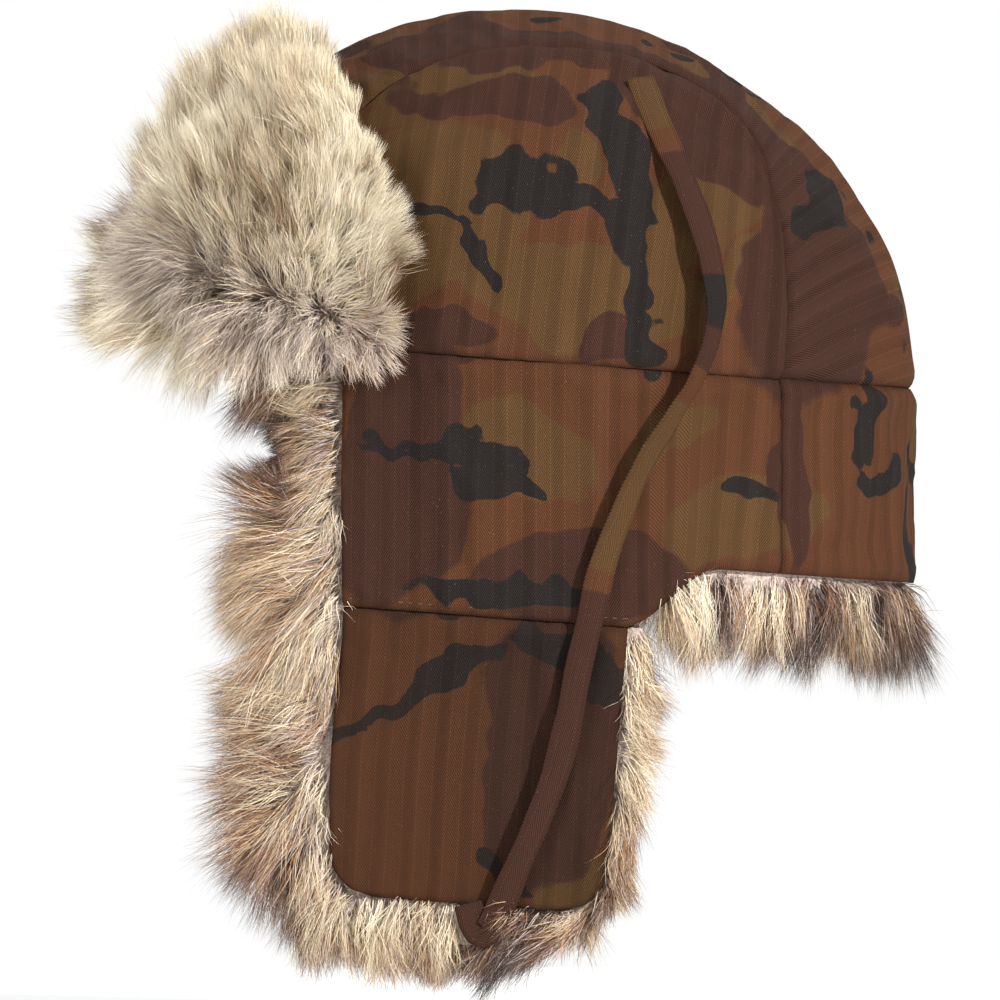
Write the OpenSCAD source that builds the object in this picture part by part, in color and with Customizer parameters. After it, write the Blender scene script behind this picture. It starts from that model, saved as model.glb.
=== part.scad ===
// Trapper hat with long-pile ear flaps, neck strip and a turned-up visor.
// Front is -X, the wearer's left is -Y, up is +Z. The origin is the middle
// of the head opening, at the seam between the crown and the band.

/* [Crown] */
// Length of the crown, front to back, outside
crown_length = 240; // [225:1:255]
// Width of the crown, outside
crown_width = 194; // [182:1:206]
// Height of the crown above its lower seam
crown_height = 112; // [104:1:120]
// How much higher the lower seam stands for each millimetre towards the front
seam_tilt = 0.074; // [0.05:0.002:0.09]
// Height of the lower seam above the origin
seam_rise = 3; // [0:0.5:6]

/* [Layers] */
// Thickness of the camouflage cloth
cloth = 1.2; // [0.8:0.1:1.4]
// Thickness of the crown's wadding
wadding = 3; // [2:0.2:4]
// Thickness of the sewn lining
lining = 0.8; // [0.6:0.1:1]
// Thickness of the interlinings
interlining = 1.2; // [0.8:0.1:1.6]
// Depth of the fur pile inside the band and on the ear flaps
pile = 16; // [12:1:18]
// Depth of the fur pile on the visor
visor_pile = 20; // [16:1:22]
// Space between two layers, and between two panels at a seam
gap = 0.3; // [0.2:0.05:0.4]

/* [Band] */
// Depth of the side band down to the ear-flap fold
fold_depth = 83; // [78:1:88]
// Depth of the neck panel
neck_depth = 62.5; // [58:0.5:66]
// Place of the band's front edge
band_front = -63; // [-68:1:-58]
// Depth of the neck fur
neck_fur_depth = 93; // [86:1:98]

/* [Ear flaps] */
// Depth of the ear flaps' cloth hem
flap_depth = 175; // [165:1:180]
// Place of the ear flaps' back edge at the fold
flap_back = 28; // [24:1:30]
// Radius of the cloth's lower corners
flap_corner = 14; // [8:1:20]
// How far the pile stands in front of the cloth's front edge
fur_forward = 28; // [15:1:32]
// How far the pile hangs below the hem
fur_below = 21; // [12:1:26]
// How far the pile stands behind the cloth's back edge
fur_behind = 8; // [4:1:10]

/* [Visor] */
// Height of the visor's cloth
visor_height = 86; // [76:1:88]
// Half angle of the visor's sewn middle part
visor_middle = 30; // [26:1:34]
// Place of the visor's free ends at their foot
visor_end = -46; // [-52:1:-42]

/* [Ties] */
// Width of a tie
tie_width = 9; // [7:0.5:10]
// Thickness of a tie
tie_thick = 1.6; // [1.2:0.1:1.8]

/* [Hidden] */

half_length = crown_length / 2;
half_width = crown_width / 2;

// Depths of the layers, measured outwards from the outer face of the cloth
cloth_layer = [0, -cloth];
wadding_layer = [cloth_layer[1] - gap, cloth_layer[1] - gap - wadding];
lining_layer = [wadding_layer[1] - gap, wadding_layer[1] - gap - lining];
ribbon_gap = 0.9;
ribbon = 1;
label = 0.5;
sweatband_layer = [lining_layer[1] - ribbon_gap, lining_layer[1] - ribbon_gap - ribbon];
label_layer = [sweatband_layer[1] - gap, sweatband_layer[1] - gap - label];
interlining_layer = [cloth_layer[1] - gap, cloth_layer[1] - gap - interlining];
pile_layer = [interlining_layer[1] - gap, interlining_layer[1] - gap - pile];
visor_space = 1.5;     // between the crown and the turned-up visor
visor_pile_gap = 0.9;
visor_cloth_layer = [visor_space + cloth, visor_space];
visor_interlining_layer = [visor_cloth_layer[0] + gap + interlining, visor_cloth_layer[0] + gap];
visor_pile_layer = [visor_interlining_layer[0] + visor_pile_gap + visor_pile,
                    visor_interlining_layer[0] + visor_pile_gap];

// Angles round the head are measured from the forehead, 90 being the left ear
seam_front_angle = 45;  // front foot of the seam between crown centre and side
neck_angle = 130;       // seam between side band and neck panel
band_back = -half_length * cos(neck_angle);

// The seam between crown centre and side, seen from the side, as [x, z]
seam_curve = [[-62, 69], [-42, 110], [60, 116], [72, 66]];

// Where the ear flap's wall has straightened to a plane: y = -(side_plane + side_slope x)
side_plane = 93;
side_slope = 0.1;
side_flatness = 0.85;   // share of the way to that plane at the hem
side_hurry = 1.25;      // how much sooner than the hem the wall is flat
flat_fade = 42;         // length behind the ear flap over which the wall rounds again

cloth_color = "#5c3c26";
dark_cloth_color = "#3f2a26";
fur_color = "#c8b79a";
lining_color = "#4a4038";
pad_color = "#e6e2d8";

// ---------------------------------------------------------------- surfaces

function unit(v) = v / norm(v);
function mix(a, b, k) = a + (b - a) * k;
function ramp(k) = let (c = min(max(k, 0), 1)) c * c * (3 - 2 * c);
function steps(n) = [for (i = [0 : n - 1]) i / (n - 1)];

// The whole hat leans with its seam: every point is raised towards the front
function place(p) = [p.x, p.y, p.z + seam_rise - seam_tilt * p.x];

// The point of the crown that lies outwards of p. Below the seam the wall is upright
function on_crown(p) =
    let (k = 1 / norm([p.x / half_length, p.y / half_width, max(p.z, 0) / crown_height]))
    [p.x * k, p.y * k, p.z > 0 ? p.z * k : p.z];
function crown_normal(q) =
    unit([q.x / pow(half_length, 2), q.y / pow(half_width, 2), max(q.z, 0) / pow(crown_height, 2)]);
function crown_point(p, depth) = let (q = on_crown(p)) place(q + depth * crown_normal(q));

// The point at an angle round the head and a height above the seam
function round_head(angle, z) =
    let (k = sqrt(1 - pow(max(z, 0) / crown_height, 2)))
    [-half_length * k * cos(angle), -half_width * k * sin(angle), z];

// The left side wall below the seam, which flattens towards the ear flap's hem
function side_wall(x, z) =
    let (near = max(x, band_front),
         round_y = -half_width * sqrt(1 - pow(near / half_length, 2)),
         lean = pow(half_width / half_length, 2) * near / round_y,
         plane_y = -(side_plane + side_slope * x),
         flat = ramp(-z / flap_depth * side_hurry) * side_flatness * (1 - ramp((x - flap_back) / flat_fade)))
    mix(round_y - lean * (x - near), plane_y, flat);
function side_normal(x, z) =
    unit([side_wall(x + 1, z) - side_wall(x - 1, z), -2, side_wall(x, z + 1) - side_wall(x, z - 1)]);
function side_point(x, z, depth) = place([x, side_wall(x, z), z] + depth * side_normal(x, z));

// A closed sheet between two grids of points with the same rows and columns
module sheet(outer, inner) {
    rows = len(outer);
    cols = len(outer[0]);
    count = rows * cols;
    function at(face, i, j) = face * count + i * cols + j;
    function two(a, b, c, d) = [[a, b, c], [a, c, d]];
    polyhedron(
        points = concat([for (row = outer) each row], [for (row = inner) each row]),
        faces = [
            for (i = [0 : rows - 2], j = [0 : cols - 2]) each concat(
                two(at(0, i, j), at(0, i, j + 1), at(0, i + 1, j + 1), at(0, i + 1, j)),
                two(at(1, i, j), at(1, i + 1, j), at(1, i + 1, j + 1), at(1, i, j + 1))),
            for (i = [0 : rows - 2]) each concat(
                two(at(0, i, 0), at(0, i + 1, 0), at(1, i + 1, 0), at(1, i, 0)),
                two(at(0, i, cols - 1), at(1, i, cols - 1), at(1, i + 1, cols - 1), at(0, i + 1, cols - 1))),
            for (j = [0 : cols - 2]) each concat(
                two(at(0, 0, j), at(1, 0, j), at(1, 0, j + 1), at(0, 0, j + 1)),
                two(at(0, rows - 1, j), at(0, rows - 1, j + 1), at(1, rows - 1, j + 1), at(1, rows - 1, j)))
        ],
        convexity = 8);
}

// ---------------------------------------------------------------- crown

seam_inset = 0.004;  // share of a panel's width left free at each seam
leg_share = 0.15;    // spacing of the rows between the seam's feet and its curve
centre_cols = 17;
side_rows = 9;
side_cols = 15;

function curve_at(c, k) =
    pow(1 - k, 3) * c[0] + 3 * pow(1 - k, 2) * k * c[1] + 3 * (1 - k) * k * k * c[2] + pow(k, 3) * c[3];
function seam_point(k) =
    let (p = curve_at(seam_curve, k))
    [p.x, -half_width * sqrt(1 - pow(p.x / half_length, 2) - pow(p.y / crown_height, 2)), p.y];
function seam_foot(angle) = round_head(angle, 0);

// The seam from its front foot, over the top, to its back foot
seam_line = concat(
    [for (k = [0 : 5]) on_crown(mix(seam_foot(seam_front_angle), seam_point(0), k * leg_share))],
    [for (k = steps(11)) seam_point(k)],
    [for (k = [5 : -1 : 0]) on_crown(mix(seam_foot(neck_angle), seam_point(1), k * leg_share))]);

module crown_centre(layer) {
    function grid(depth) = [for (p = seam_line) [for (k = steps(centre_cols))
        crown_point([p.x, p.y * mix(1 - seam_inset, seam_inset - 1, k), p.z], depth)]];
    sheet(grid(layer[0]), grid(layer[1]));
}

module crown_side(layer) {
    function grid(depth) = [for (j = steps(side_rows)) [for (k = steps(side_cols))
        crown_point(mix(seam_foot(mix(seam_front_angle, neck_angle, k)), seam_point(k),
                        mix(0, 1 - seam_inset, j)), depth)]];
    sheet(grid(layer[0]), grid(layer[1]));
}

module crown_centre_panel() { color(cloth_color) crown_centre(cloth_layer); }
module crown_side_panel() { color(dark_cloth_color) crown_side(cloth_layer); }
module crown_wadding_centre() { color(pad_color) crown_centre(wadding_layer); }
module crown_wadding_side() { color(pad_color) crown_side(wadding_layer); }
module crown_lining_centre() { color(lining_color) crown_centre(lining_layer); }
module crown_lining_side() { color(lining_color) crown_side(lining_layer); }

// A sheet round part of the head, between two angles and two heights
module round_sheet(angles, heights, layer, cols, rows) {
    function grid(depth) = [for (z = steps(rows)) [for (k = steps(cols))
        crown_point(round_head(mix(angles[0], angles[1], k), mix(heights[1], heights[0], z)), depth)]];
    sheet(grid(layer[0]), grid(layer[1]));
}

sweatband_angles = [181, 539];
sweatband_heights = [1, 30];
label_half_angle = 9;
label_heights = [6, 24];

module sweatband() {
    color("#2f2a26") round_sheet(sweatband_angles, sweatband_heights, sweatband_layer, 61, 4);
}
module size_label() {
    color("#f2f0ea")
        round_sheet([180 - label_half_angle, 180 + label_half_angle], label_heights, label_layer, 5, 3);
}

// ---------------------------------------------------------------- band

// The band's lower edge: the ear-flap fold in front, the neck hem behind
hem_step_start = flap_back - 2;
hem_step_length = 32;
function band_foot(x) =
    -mix(fold_depth - 2 * gap, neck_depth, ramp((x - hem_step_start) / hem_step_length));

module band_sheet(front, back, head, layer) {
    function grid(depth) = [for (j = steps(6)) [for (k = steps(15))
        let (x = mix(front, back, k)) side_point(x, mix(band_foot(x), head, j), depth)]];
    sheet(grid(layer[0]), grid(layer[1]));
}

band_inset = 3;      // from a panel's edge to its interlining's edge
seam_allowance = 2;  // the same, at a sewn side
band_fur_forward = 26;
band_fur_head = -9;
neck_fur_head = -4;
neck_fur_angle = 109.5;  // where the neck fur begins, behind the ear flap
neck_fur_front = -half_length * cos(neck_fur_angle);

module side_band() { color(cloth_color) band_sheet(band_front, band_back - gap, -gap, cloth_layer); }
module band_interlining() {
    color(pad_color)
        band_sheet(band_front + band_inset, band_back - seam_allowance, -band_inset, interlining_layer);
}
module band_fur() {
    color(fur_color)
        band_sheet(band_front - band_fur_forward, neck_fur_front - seam_allowance, band_fur_head,
                   pile_layer);
}
module neck_panel() {
    color(dark_cloth_color)
        round_sheet([neck_angle + gap, 360 - neck_angle - gap], [-neck_depth, -gap], cloth_layer, 17, 3);
}
module neck_interlining() {
    color(pad_color)
        round_sheet([neck_angle + seam_allowance, 360 - neck_angle - seam_allowance],
                    [-neck_depth + band_inset, -band_inset], interlining_layer, 17, 3);
}
module neck_fur() {
    color(fur_color)
        round_sheet([neck_fur_angle, 360 - neck_fur_angle], [-neck_fur_depth, neck_fur_head],
                    pile_layer, 25, 4);
}

// ---------------------------------------------------------------- ear flaps

fold_clearance = 0.6;
head_drop = 1 / 8;   // the deeper a layer lies, the lower it starts below the fold
flap_rows = [0, 0.2, 0.4, 0.6, 0.75, 0.86, 0.93, 0.975, 1];

// How much a side of the flap is cut back at a height above the hem
function corner_cut(above, r) = above > r ? 0 : r - sqrt(r * r - pow(r - above, 2));

// The flap narrows from the fold to the hem, more at the back than in front
flap_front_step = 4;
flap_front_length = 60;
flap_back_taper = 8;
function flap_front_edge(z) = band_front - flap_front_step * ramp((-z - fold_depth) / flap_front_length);
function flap_back_edge(z) =
    flap_back - flap_back_taper * (-z - fold_depth) / (flap_depth - fold_depth);

module flap_sheet(forward, behind, below, corner, layer) {
    head = -fold_depth - fold_clearance - abs(layer[0]) * head_drop;
    foot = -flap_depth - below;
    function grid(depth) = [for (j = flap_rows)
        let (z = mix(head, foot, j), cut = corner_cut(z - foot, corner))
        [for (k = steps(13))
            let (x = mix(flap_back_edge(z) + behind - cut, flap_front_edge(z) - forward + cut, k))
            side_point(x, z, depth)]];
    sheet(grid(layer[0]), grid(layer[1]));
}

fur_corner = 30;
interlining_inset = 4;

module ear_flap_shell() { color(cloth_color) flap_sheet(0, 0, 0, flap_corner, cloth_layer); }
module ear_flap_interlining() {
    color(pad_color)
        flap_sheet(-interlining_inset, -interlining_inset, -interlining_inset, flap_corner,
                   interlining_layer);
}
module ear_flap_fur() {
    color(fur_color) flap_sheet(fur_forward, fur_behind, fur_below, fur_corner, pile_layer);
}

// ---------------------------------------------------------------- visor

visor_foot = 1;
visor_seam_angle = 0.4;   // half of the space between the middle and an end, in degrees
visor_fur_wedge = 6;      // extra space there at the tips of the pile, in degrees
visor_fur_foot = -6;
visor_fur_rise = 9;       // how much higher the pile's foot stands at the middle part's sides
visor_fur_side = 5;       // how far the pile stands past the free ends
visor_fur_heads = [visor_height - 6, visor_height + 2];  // the pile's top edge, at its tips and its roots

// The free end's edge leans forward towards the visor's top
visor_lean = 19;
visor_lean_start = 30;
visor_lean_power = 2.2;
function visor_edge_x(z) =
    let (k = max(z - visor_lean_start, 0) / (visor_height - visor_lean_start))
    visor_end - visor_lean * pow(k, visor_lean_power);
function visor_edge_angle(z, past) =
    let (level = min(max(z, 0), visor_height - 2))
    acos(-(visor_edge_x(level) + past) / half_length / sqrt(1 - pow(level / crown_height, 2)));

// heads are the top edges of the outer and the inner face; the wedge opens only on the outer face;
// the foot rises towards the sides, where the crown curves back behind the fold
module visor_middle_sheet(foot, rise, heads, wedge, layer) {
    function grid(depth, head, w) = [for (j = steps(7)) [for (k = steps(11))
        let (side = mix(-1, 1, k))
        crown_point(round_head(side * (visor_middle - visor_seam_angle - w),
                               mix(head, foot + rise * side * side, j)), depth)]];
    sheet(grid(layer[0], heads[0], wedge), grid(layer[1], heads[1], 0));
}
module visor_end_sheet(foot, heads, past, wedge, layer) {
    function grid(depth, head, w) = [for (j = steps(7)) [for (k = steps(7))
        let (z = mix(head, foot, j))
        crown_point(round_head(mix(visor_middle + visor_seam_angle + w, visor_edge_angle(z, past), k), z),
                    depth)]];
    sheet(grid(layer[0], heads[0], wedge), grid(layer[1], heads[1], 0));
}

visor_heads = [visor_height, visor_height];
visor_inset = 3;

module visor_shell_middle() {
    color(dark_cloth_color) visor_middle_sheet(visor_foot, 0, visor_heads, 0, visor_cloth_layer);
}
module visor_shell_end() {
    color(dark_cloth_color) visor_end_sheet(visor_foot, visor_heads, 0, 0, visor_cloth_layer);
}
module visor_interlining_middle() {
    color(pad_color)
        visor_middle_sheet(visor_foot + seam_allowance, 0, visor_heads - [visor_inset, visor_inset], 0,
                           visor_interlining_layer);
}
module visor_interlining_end() {
    color(pad_color)
        visor_end_sheet(visor_foot + seam_allowance, visor_heads - [visor_inset, visor_inset],
                        -visor_inset, 0, visor_interlining_layer);
}
module visor_fur_middle() {
    color(fur_color)
        visor_middle_sheet(visor_fur_foot, visor_fur_rise, visor_fur_heads, visor_fur_wedge,
                           visor_pile_layer);
}
module visor_fur_end() {
    color(fur_color)
        visor_end_sheet(visor_fur_foot, visor_fur_heads, visor_fur_side, visor_fur_wedge,
                        visor_pile_layer);
}

// ---------------------------------------------------------------- ties

// The left tie's middle line, from its end on the crown down to the ear flap's hem,
// and for each point the direction that the tie's flat side faces
tie_route_upper = [
    [32, -52, 93], [38, -66, 78], [46, -79, 60], [53, -88, 40], [56, -93, 20],
    [52, -96, 2], [43, -98, -14], [33, -98, -30], [26, -98, -46], [20, -98, -62], [16, -98, -79]];
tie_route_lower = [
    [16, -98, -81], [12, -98, -96], [9, -98, -112], [5, -97, -128], [-1, -97, -144],
    [-8, -97, -160], [-14, -97, -174], [-18, -98, -180], [-21, -97, -177], [-23, -96, -170]];
tie_face_top = [0, -0.5, 0.86];
tie_face_twist = [0.9, -0.4, 0];
tie_face_side = [0, -1, 0];
tie_faces_upper = [
    tie_face_top, [0.1, -0.7, 0.7], [0.5, -0.8, 0.3], tie_face_twist, tie_face_twist,
    [0.8, -0.6, 0], [0.5, -0.85, 0], [0.2, -1, 0], tie_face_side, tie_face_side, tie_face_side];
tie_faces_lower = [
    for (i = [0 : 5]) tie_face_side, [0, -1, -0.2], [0, -0.8, -0.6], [0, -1, 0], tie_face_side];

// A flat strip with rounded edges, as one skin along the route
module strip(route, faces) {
    last = len(route) - 1;
    sides = 8;
    ring = [for (s = [0 : sides - 1]) let (a = 360 / sides * (s + 0.5))
        [tie_width / 2 * cos(a) / cos(22.5), tie_thick / 2 * sin(a) / sin(67.5)]];
    points = [for (i = [0 : last])
        let (along = unit(route[min(i + 1, last)] - route[max(i - 1, 0)]),
             across = unit(cross(along, faces[i])),
             up = cross(across, along))
        for (r = ring) route[i] + r.x * across + r.y * up];
    polyhedron(
        points = points,
        faces = concat(
            [[for (s = [0 : sides - 1]) s]],
            [[for (s = [sides - 1 : -1 : 0]) last * sides + s]],
            [for (i = [0 : last - 1], s = [0 : sides - 1])
                let (t = (s + 1) % sides, a = i * sides, b = a + sides)
                each [[a + s, b + s, b + t], [a + s, b + t, a + t]]]),
        convexity = 8);
}

module tie_upper() { color(dark_cloth_color) strip(tie_route_upper, tie_faces_upper); }
module tie_lower() { color(cloth_color) strip(tie_route_lower, tie_faces_lower); }

// The hat's right side mirrors its left
module right() { mirror([0, 1, 0]) children(); }

crown_centre_panel();
crown_side_panel();  // crown_side_panel_left
right() crown_side_panel();  // crown_side_panel_right
crown_wadding_centre();
crown_wadding_side();  // crown_wadding_left
right() crown_wadding_side();  // crown_wadding_right
crown_lining_centre();
crown_lining_side();  // crown_lining_left
right() crown_lining_side();  // crown_lining_right
sweatband();
size_label();
side_band();  // side_band_left
right() side_band();  // side_band_right
neck_panel();
band_interlining();  // band_interlining_left
right() band_interlining();  // band_interlining_right
neck_interlining();
band_fur();  // band_fur_left
right() band_fur();  // band_fur_right
neck_fur();
ear_flap_shell();  // ear_flap_shell_left
right() ear_flap_shell();  // ear_flap_shell_right
ear_flap_interlining();  // ear_flap_interlining_left
right() ear_flap_interlining();  // ear_flap_interlining_right
ear_flap_fur();  // ear_flap_fur_left
right() ear_flap_fur();  // ear_flap_fur_right
visor_shell_middle();
visor_shell_end();  // visor_shell_left
right() visor_shell_end();  // visor_shell_right
visor_interlining_middle();
visor_interlining_end();  // visor_interlining_left
right() visor_interlining_end();  // visor_interlining_right
visor_fur_middle();
visor_fur_end();  // visor_fur_left
right() visor_fur_end();  // visor_fur_right
tie_upper();  // tie_upper_left
tie_lower();  // tie_lower_left
right() tie_upper();  // tie_upper_right
right() tie_lower();  // tie_lower_right
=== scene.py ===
import math
import bpy
import numpy as np
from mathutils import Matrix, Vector


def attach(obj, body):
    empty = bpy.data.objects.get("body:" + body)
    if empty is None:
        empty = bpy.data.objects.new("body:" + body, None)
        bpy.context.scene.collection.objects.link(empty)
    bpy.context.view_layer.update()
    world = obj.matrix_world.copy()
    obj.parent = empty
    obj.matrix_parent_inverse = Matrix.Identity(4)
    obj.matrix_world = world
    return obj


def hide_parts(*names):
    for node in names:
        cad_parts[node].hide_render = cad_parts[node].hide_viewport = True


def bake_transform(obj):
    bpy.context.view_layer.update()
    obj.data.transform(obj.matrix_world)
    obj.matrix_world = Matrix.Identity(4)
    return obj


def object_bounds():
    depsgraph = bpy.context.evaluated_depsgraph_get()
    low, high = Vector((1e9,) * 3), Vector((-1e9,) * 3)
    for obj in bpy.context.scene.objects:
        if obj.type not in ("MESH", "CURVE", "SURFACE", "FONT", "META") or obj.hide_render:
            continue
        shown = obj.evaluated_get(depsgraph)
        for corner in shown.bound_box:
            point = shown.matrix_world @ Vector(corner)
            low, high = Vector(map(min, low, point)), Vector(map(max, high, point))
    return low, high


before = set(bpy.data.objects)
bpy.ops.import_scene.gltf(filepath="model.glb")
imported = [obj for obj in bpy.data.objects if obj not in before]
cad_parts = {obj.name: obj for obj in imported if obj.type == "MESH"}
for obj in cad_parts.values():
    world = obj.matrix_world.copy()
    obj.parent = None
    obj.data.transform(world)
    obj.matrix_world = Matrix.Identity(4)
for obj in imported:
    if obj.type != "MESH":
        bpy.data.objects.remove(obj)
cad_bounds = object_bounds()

# A trapper hat. Shapes are worked out in millimetres, in the CAD frame: -X is the front,
# -Y the wearer's left, +Z up. Meshes are written in metres.
MM = 0.001
SPACING = 1.7            # between the points of a cloth mesh

# The crown is an ellipsoid that leans with its lower seam
HALF = np.array([120.0, 97.0, 112.0])
SEAM_RISE, SEAM_TILT = 3.0, 0.074
SEAM_FRONT_ANGLE, NECK_ANGLE = 45.0, 130.0
SEAM_CURVE = np.array([[-62, 69], [-42, 110], [60, 116], [72, 66]], float)

# Each layer's outer and inner face, measured outwards from the outer face of the hat's cloth
CLOTH = (0.0, -1.2)
WADDING = (-1.6, -4.5)
INTERLINING = (-1.6, -2.7)
LINING = (-4.8, -5.6)
SWEATBAND = (-6.5, -7.5)
LABEL = (-7.8, -8.3)
VISOR_CLOTH = (2.7, 1.5)
VISOR_INTERLINING = (4.2, 3.0)
VISOR_GROUND = (6.3, 5.1)

BAND_FRONT, BAND_BACK = -63.0, 77.1
FOLD_DEPTH = 83.0
NECK_DEPTH = 62.5
FLAP_DEPTH = 175.0
FLAP_BACK = 28.0
FLAP_CORNER = 14.0
SIDE_PLANE, SIDE_SLOPE = 93.0, 0.1
VISOR_HEIGHT = 86.0
VISOR_MIDDLE = 30.0
VISOR_END = -46.0
VISOR_BEND = 13.0        # the visor bends below this height, where it is only cloth
NECK_FUR_ANGLE = 109.5

TIE_WIDTH, TIE_THICK = 9.0, 1.6
TUCK = 0.5               # how far the crown's cloth reaches into the seam below it

# The left tie's middle line from its end on the crown to the ear flap's hem, and where it faces
TIE_ROUTE = np.array([
    [32, -52, 93], [38, -66, 78], [46, -79, 60], [53, -88, 40], [56, -93, 20],
    [52, -96, 2], [43, -98, -14], [33, -98, -30], [26, -98, -46], [20, -98, -62], [16, -98, -79],
    [12, -98, -96], [9, -98, -112], [5, -97, -128], [-1, -97, -144],
    [-8, -97, -160], [-14, -97, -174], [-18, -98, -180], [-21, -97, -177], [-23, -96, -170]], float)
TIE_FACES = np.array([
    [0, -0.5, 0.86], [0.1, -0.7, 0.7], [0.5, -0.8, 0.3], [0.9, -0.4, 0], [0.9, -0.4, 0],
    [0.8, -0.6, 0], [0.5, -0.85, 0], [0.2, -1, 0], [0, -1, 0], [0, -1, 0], [0, -1, 0],
    [0, -1, 0], [0, -1, 0], [0, -1, 0], [0, -1, 0],
    [0, -1, 0], [0, -1, -0.2], [0, -0.8, -0.6], [0, -1, 0], [0, -1, 0]], float)


# ---------------------------------------------------------------- camera

CAMERA_DISTANCE, CAMERA_AIM = 8.0, (-0.0128, -0.0416)
VIEW_WIDTH, SENSOR_WIDTH = 0.320, 36
NEAR_SIDE = 0.05         # the picture is VIEW_WIDTH wide this far in front of the middle


def make_camera():
    data = bpy.data.cameras.new("camera")
    camera = bpy.data.objects.new("camera", data)
    bpy.context.scene.collection.objects.link(camera)
    data.sensor_width = SENSOR_WIDTH
    data.lens = SENSOR_WIDTH * (CAMERA_DISTANCE - NEAR_SIDE) / VIEW_WIDTH
    camera.location = (CAMERA_AIM[0], -CAMERA_DISTANCE, CAMERA_AIM[1])
    camera.rotation_euler = (math.radians(90), 0, 0)
    bpy.context.scene.camera = camera


make_camera()


# ---------------------------------------------------------------- numbers

def unit(v):
    return v / np.maximum(np.linalg.norm(v, axis=-1, keepdims=True), 1e-9)


def ramp(k):
    """From 0 to 1 as k does, easing in and out."""
    c = np.clip(k, 0, 1)
    return c * c * (3 - 2 * c)


def mix(a, b, k):
    return a + (b - a) * k


def noise(p, scale, seed):
    """Smooth values from -1 to 1 at the points p, with bumps about scale apart."""
    q = np.asarray(p, float) / scale + seed * 17.31
    cell = np.floor(q).astype(np.int64)
    f = q - cell
    f = f * f * f * (f * (f * 6 - 15) + 10)
    total = 0
    for corner in np.ndindex(*(2,) * q.shape[-1]):
        at = cell + corner
        h = at[..., 0] * 374761393 + at[..., 1] * 668265263 + seed * 69069
        if q.shape[-1] > 2:
            h = h + at[..., 2] * 2147483647
        h = (h ^ (h >> 13)) * 1274126177
        h = (h ^ (h >> 16)) & 0xFFFF
        weight = np.prod(np.where(corner, f, 1 - f), axis=-1)
        total = total + weight * (h / 32767.5 - 1)
    return total


def rough_noise(p, scale, seed, octaves=3):
    return sum(noise(p, scale / 2 ** i, seed + i) / 1.8 ** i for i in range(octaves))


def drift(p, scale, *seeds):
    """A smooth random direction and strength at each of the points p."""
    return np.stack([noise(p, scale, seed) for seed in seeds], -1)


# ---------------------------------------------------------------- surfaces

def place(p):
    """From the crown's own frame, whose lower seam is level, to the hat's."""
    p = np.array(p, float)
    p[..., 2] += SEAM_RISE - SEAM_TILT * p[..., 0]
    return p


def on_crown(p):
    """Points moved outwards onto the crown, or onto the upright wall below it."""
    q = np.array(p, float)
    up = q[..., 2] > 0
    s = q / HALF
    s[..., 2] = np.where(up, s[..., 2], 0)
    k = 1 / np.linalg.norm(s, axis=-1)
    q[..., 0] *= k
    q[..., 1] *= k
    q[..., 2] *= np.where(up, k, 1)
    return q


def crown_point(p, depth):
    q = on_crown(p)
    n = q / HALF ** 2
    n[..., 2] = np.maximum(n[..., 2], 0)
    return place(q + np.asarray(depth)[..., None] * unit(n))


def round_head(angle, z):
    k = np.sqrt(1 - (np.maximum(z, 0) / HALF[2]) ** 2)
    a = np.radians(angle)
    return np.stack([-HALF[0] * k * np.cos(a), -HALF[1] * k * np.sin(a), z + 0 * a], -1)


WALL_FLATTENS, WALL_FLATNESS, WALL_FADE = 1.25, 0.85, 42


def side_wall(x, z):
    """How far out the side is: round at the seam, and flatter towards the ear flap's hem."""
    near = np.maximum(x, BAND_FRONT)
    round_y = -HALF[1] * np.sqrt(1 - (near / HALF[0]) ** 2)
    lean = (HALF[1] / HALF[0]) ** 2 * near / round_y
    plane_y = -(SIDE_PLANE + SIDE_SLOPE * x)
    flat = ramp(-z / FLAP_DEPTH * WALL_FLATTENS) * WALL_FLATNESS * (1 - ramp((x - FLAP_BACK) / WALL_FADE))
    return mix(round_y - lean * (x - near), plane_y, flat)


def side_point(x, z, depth):
    n = unit(np.stack([side_wall(x + 1, z) - side_wall(x - 1, z), -2 + 0 * x,
                       side_wall(x, z + 1) - side_wall(x, z - 1)], -1))
    p = np.stack([x, side_wall(x, z), z + 0 * x], -1)
    return place(p + np.asarray(depth)[..., None] * n)


def curve_at(c, k):
    k = np.asarray(k)[..., None]
    j = 1 - k
    return j ** 3 * c[0] + 3 * j * j * k * c[1] + 3 * j * k * k * c[2] + k ** 3 * c[3]


def seam_point(k):
    p = curve_at(SEAM_CURVE, k)
    y = -HALF[1] * np.sqrt(1 - (p[..., 0] / HALF[0]) ** 2 - (p[..., 1] / HALF[2]) ** 2)
    return np.stack([p[..., 0], y, p[..., 1]], -1)


def along_line(line, k):
    """Points at shares k of a line's length."""
    length = np.concatenate([[0], np.cumsum(np.linalg.norm(np.diff(line, axis=0), axis=1))])
    at = np.asarray(k) * length[-1]
    return np.stack([np.interp(at, length, line[:, i]) for i in range(line.shape[1])], -1)


def seam_leg(angle, end, ks):
    foot = round_head(np.float64(angle), 0.0)
    return on_crown(mix(foot, seam_point(np.float64(end)), np.asarray(ks)[:, None]))


SEAM_LINE = np.concatenate([
    seam_leg(SEAM_FRONT_ANGLE, 0, np.linspace(0, 0.95, 20)),
    seam_point(np.linspace(0, 1, 60)),
    seam_leg(NECK_ANGLE, 1, np.linspace(0.95, 0, 20))])
SEAM_LINE[[0, -1], 2] -= TUCK


# Each surface takes u and v from 0 to 1, u round the head or front to back, v upwards

def crown_side_surface(u, v, depth):
    foot = round_head(mix(SEAM_FRONT_ANGLE, NECK_ANGLE, u), 0 * u - TUCK)
    return crown_point(mix(foot, seam_point(u), v[..., None]), depth)


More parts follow.
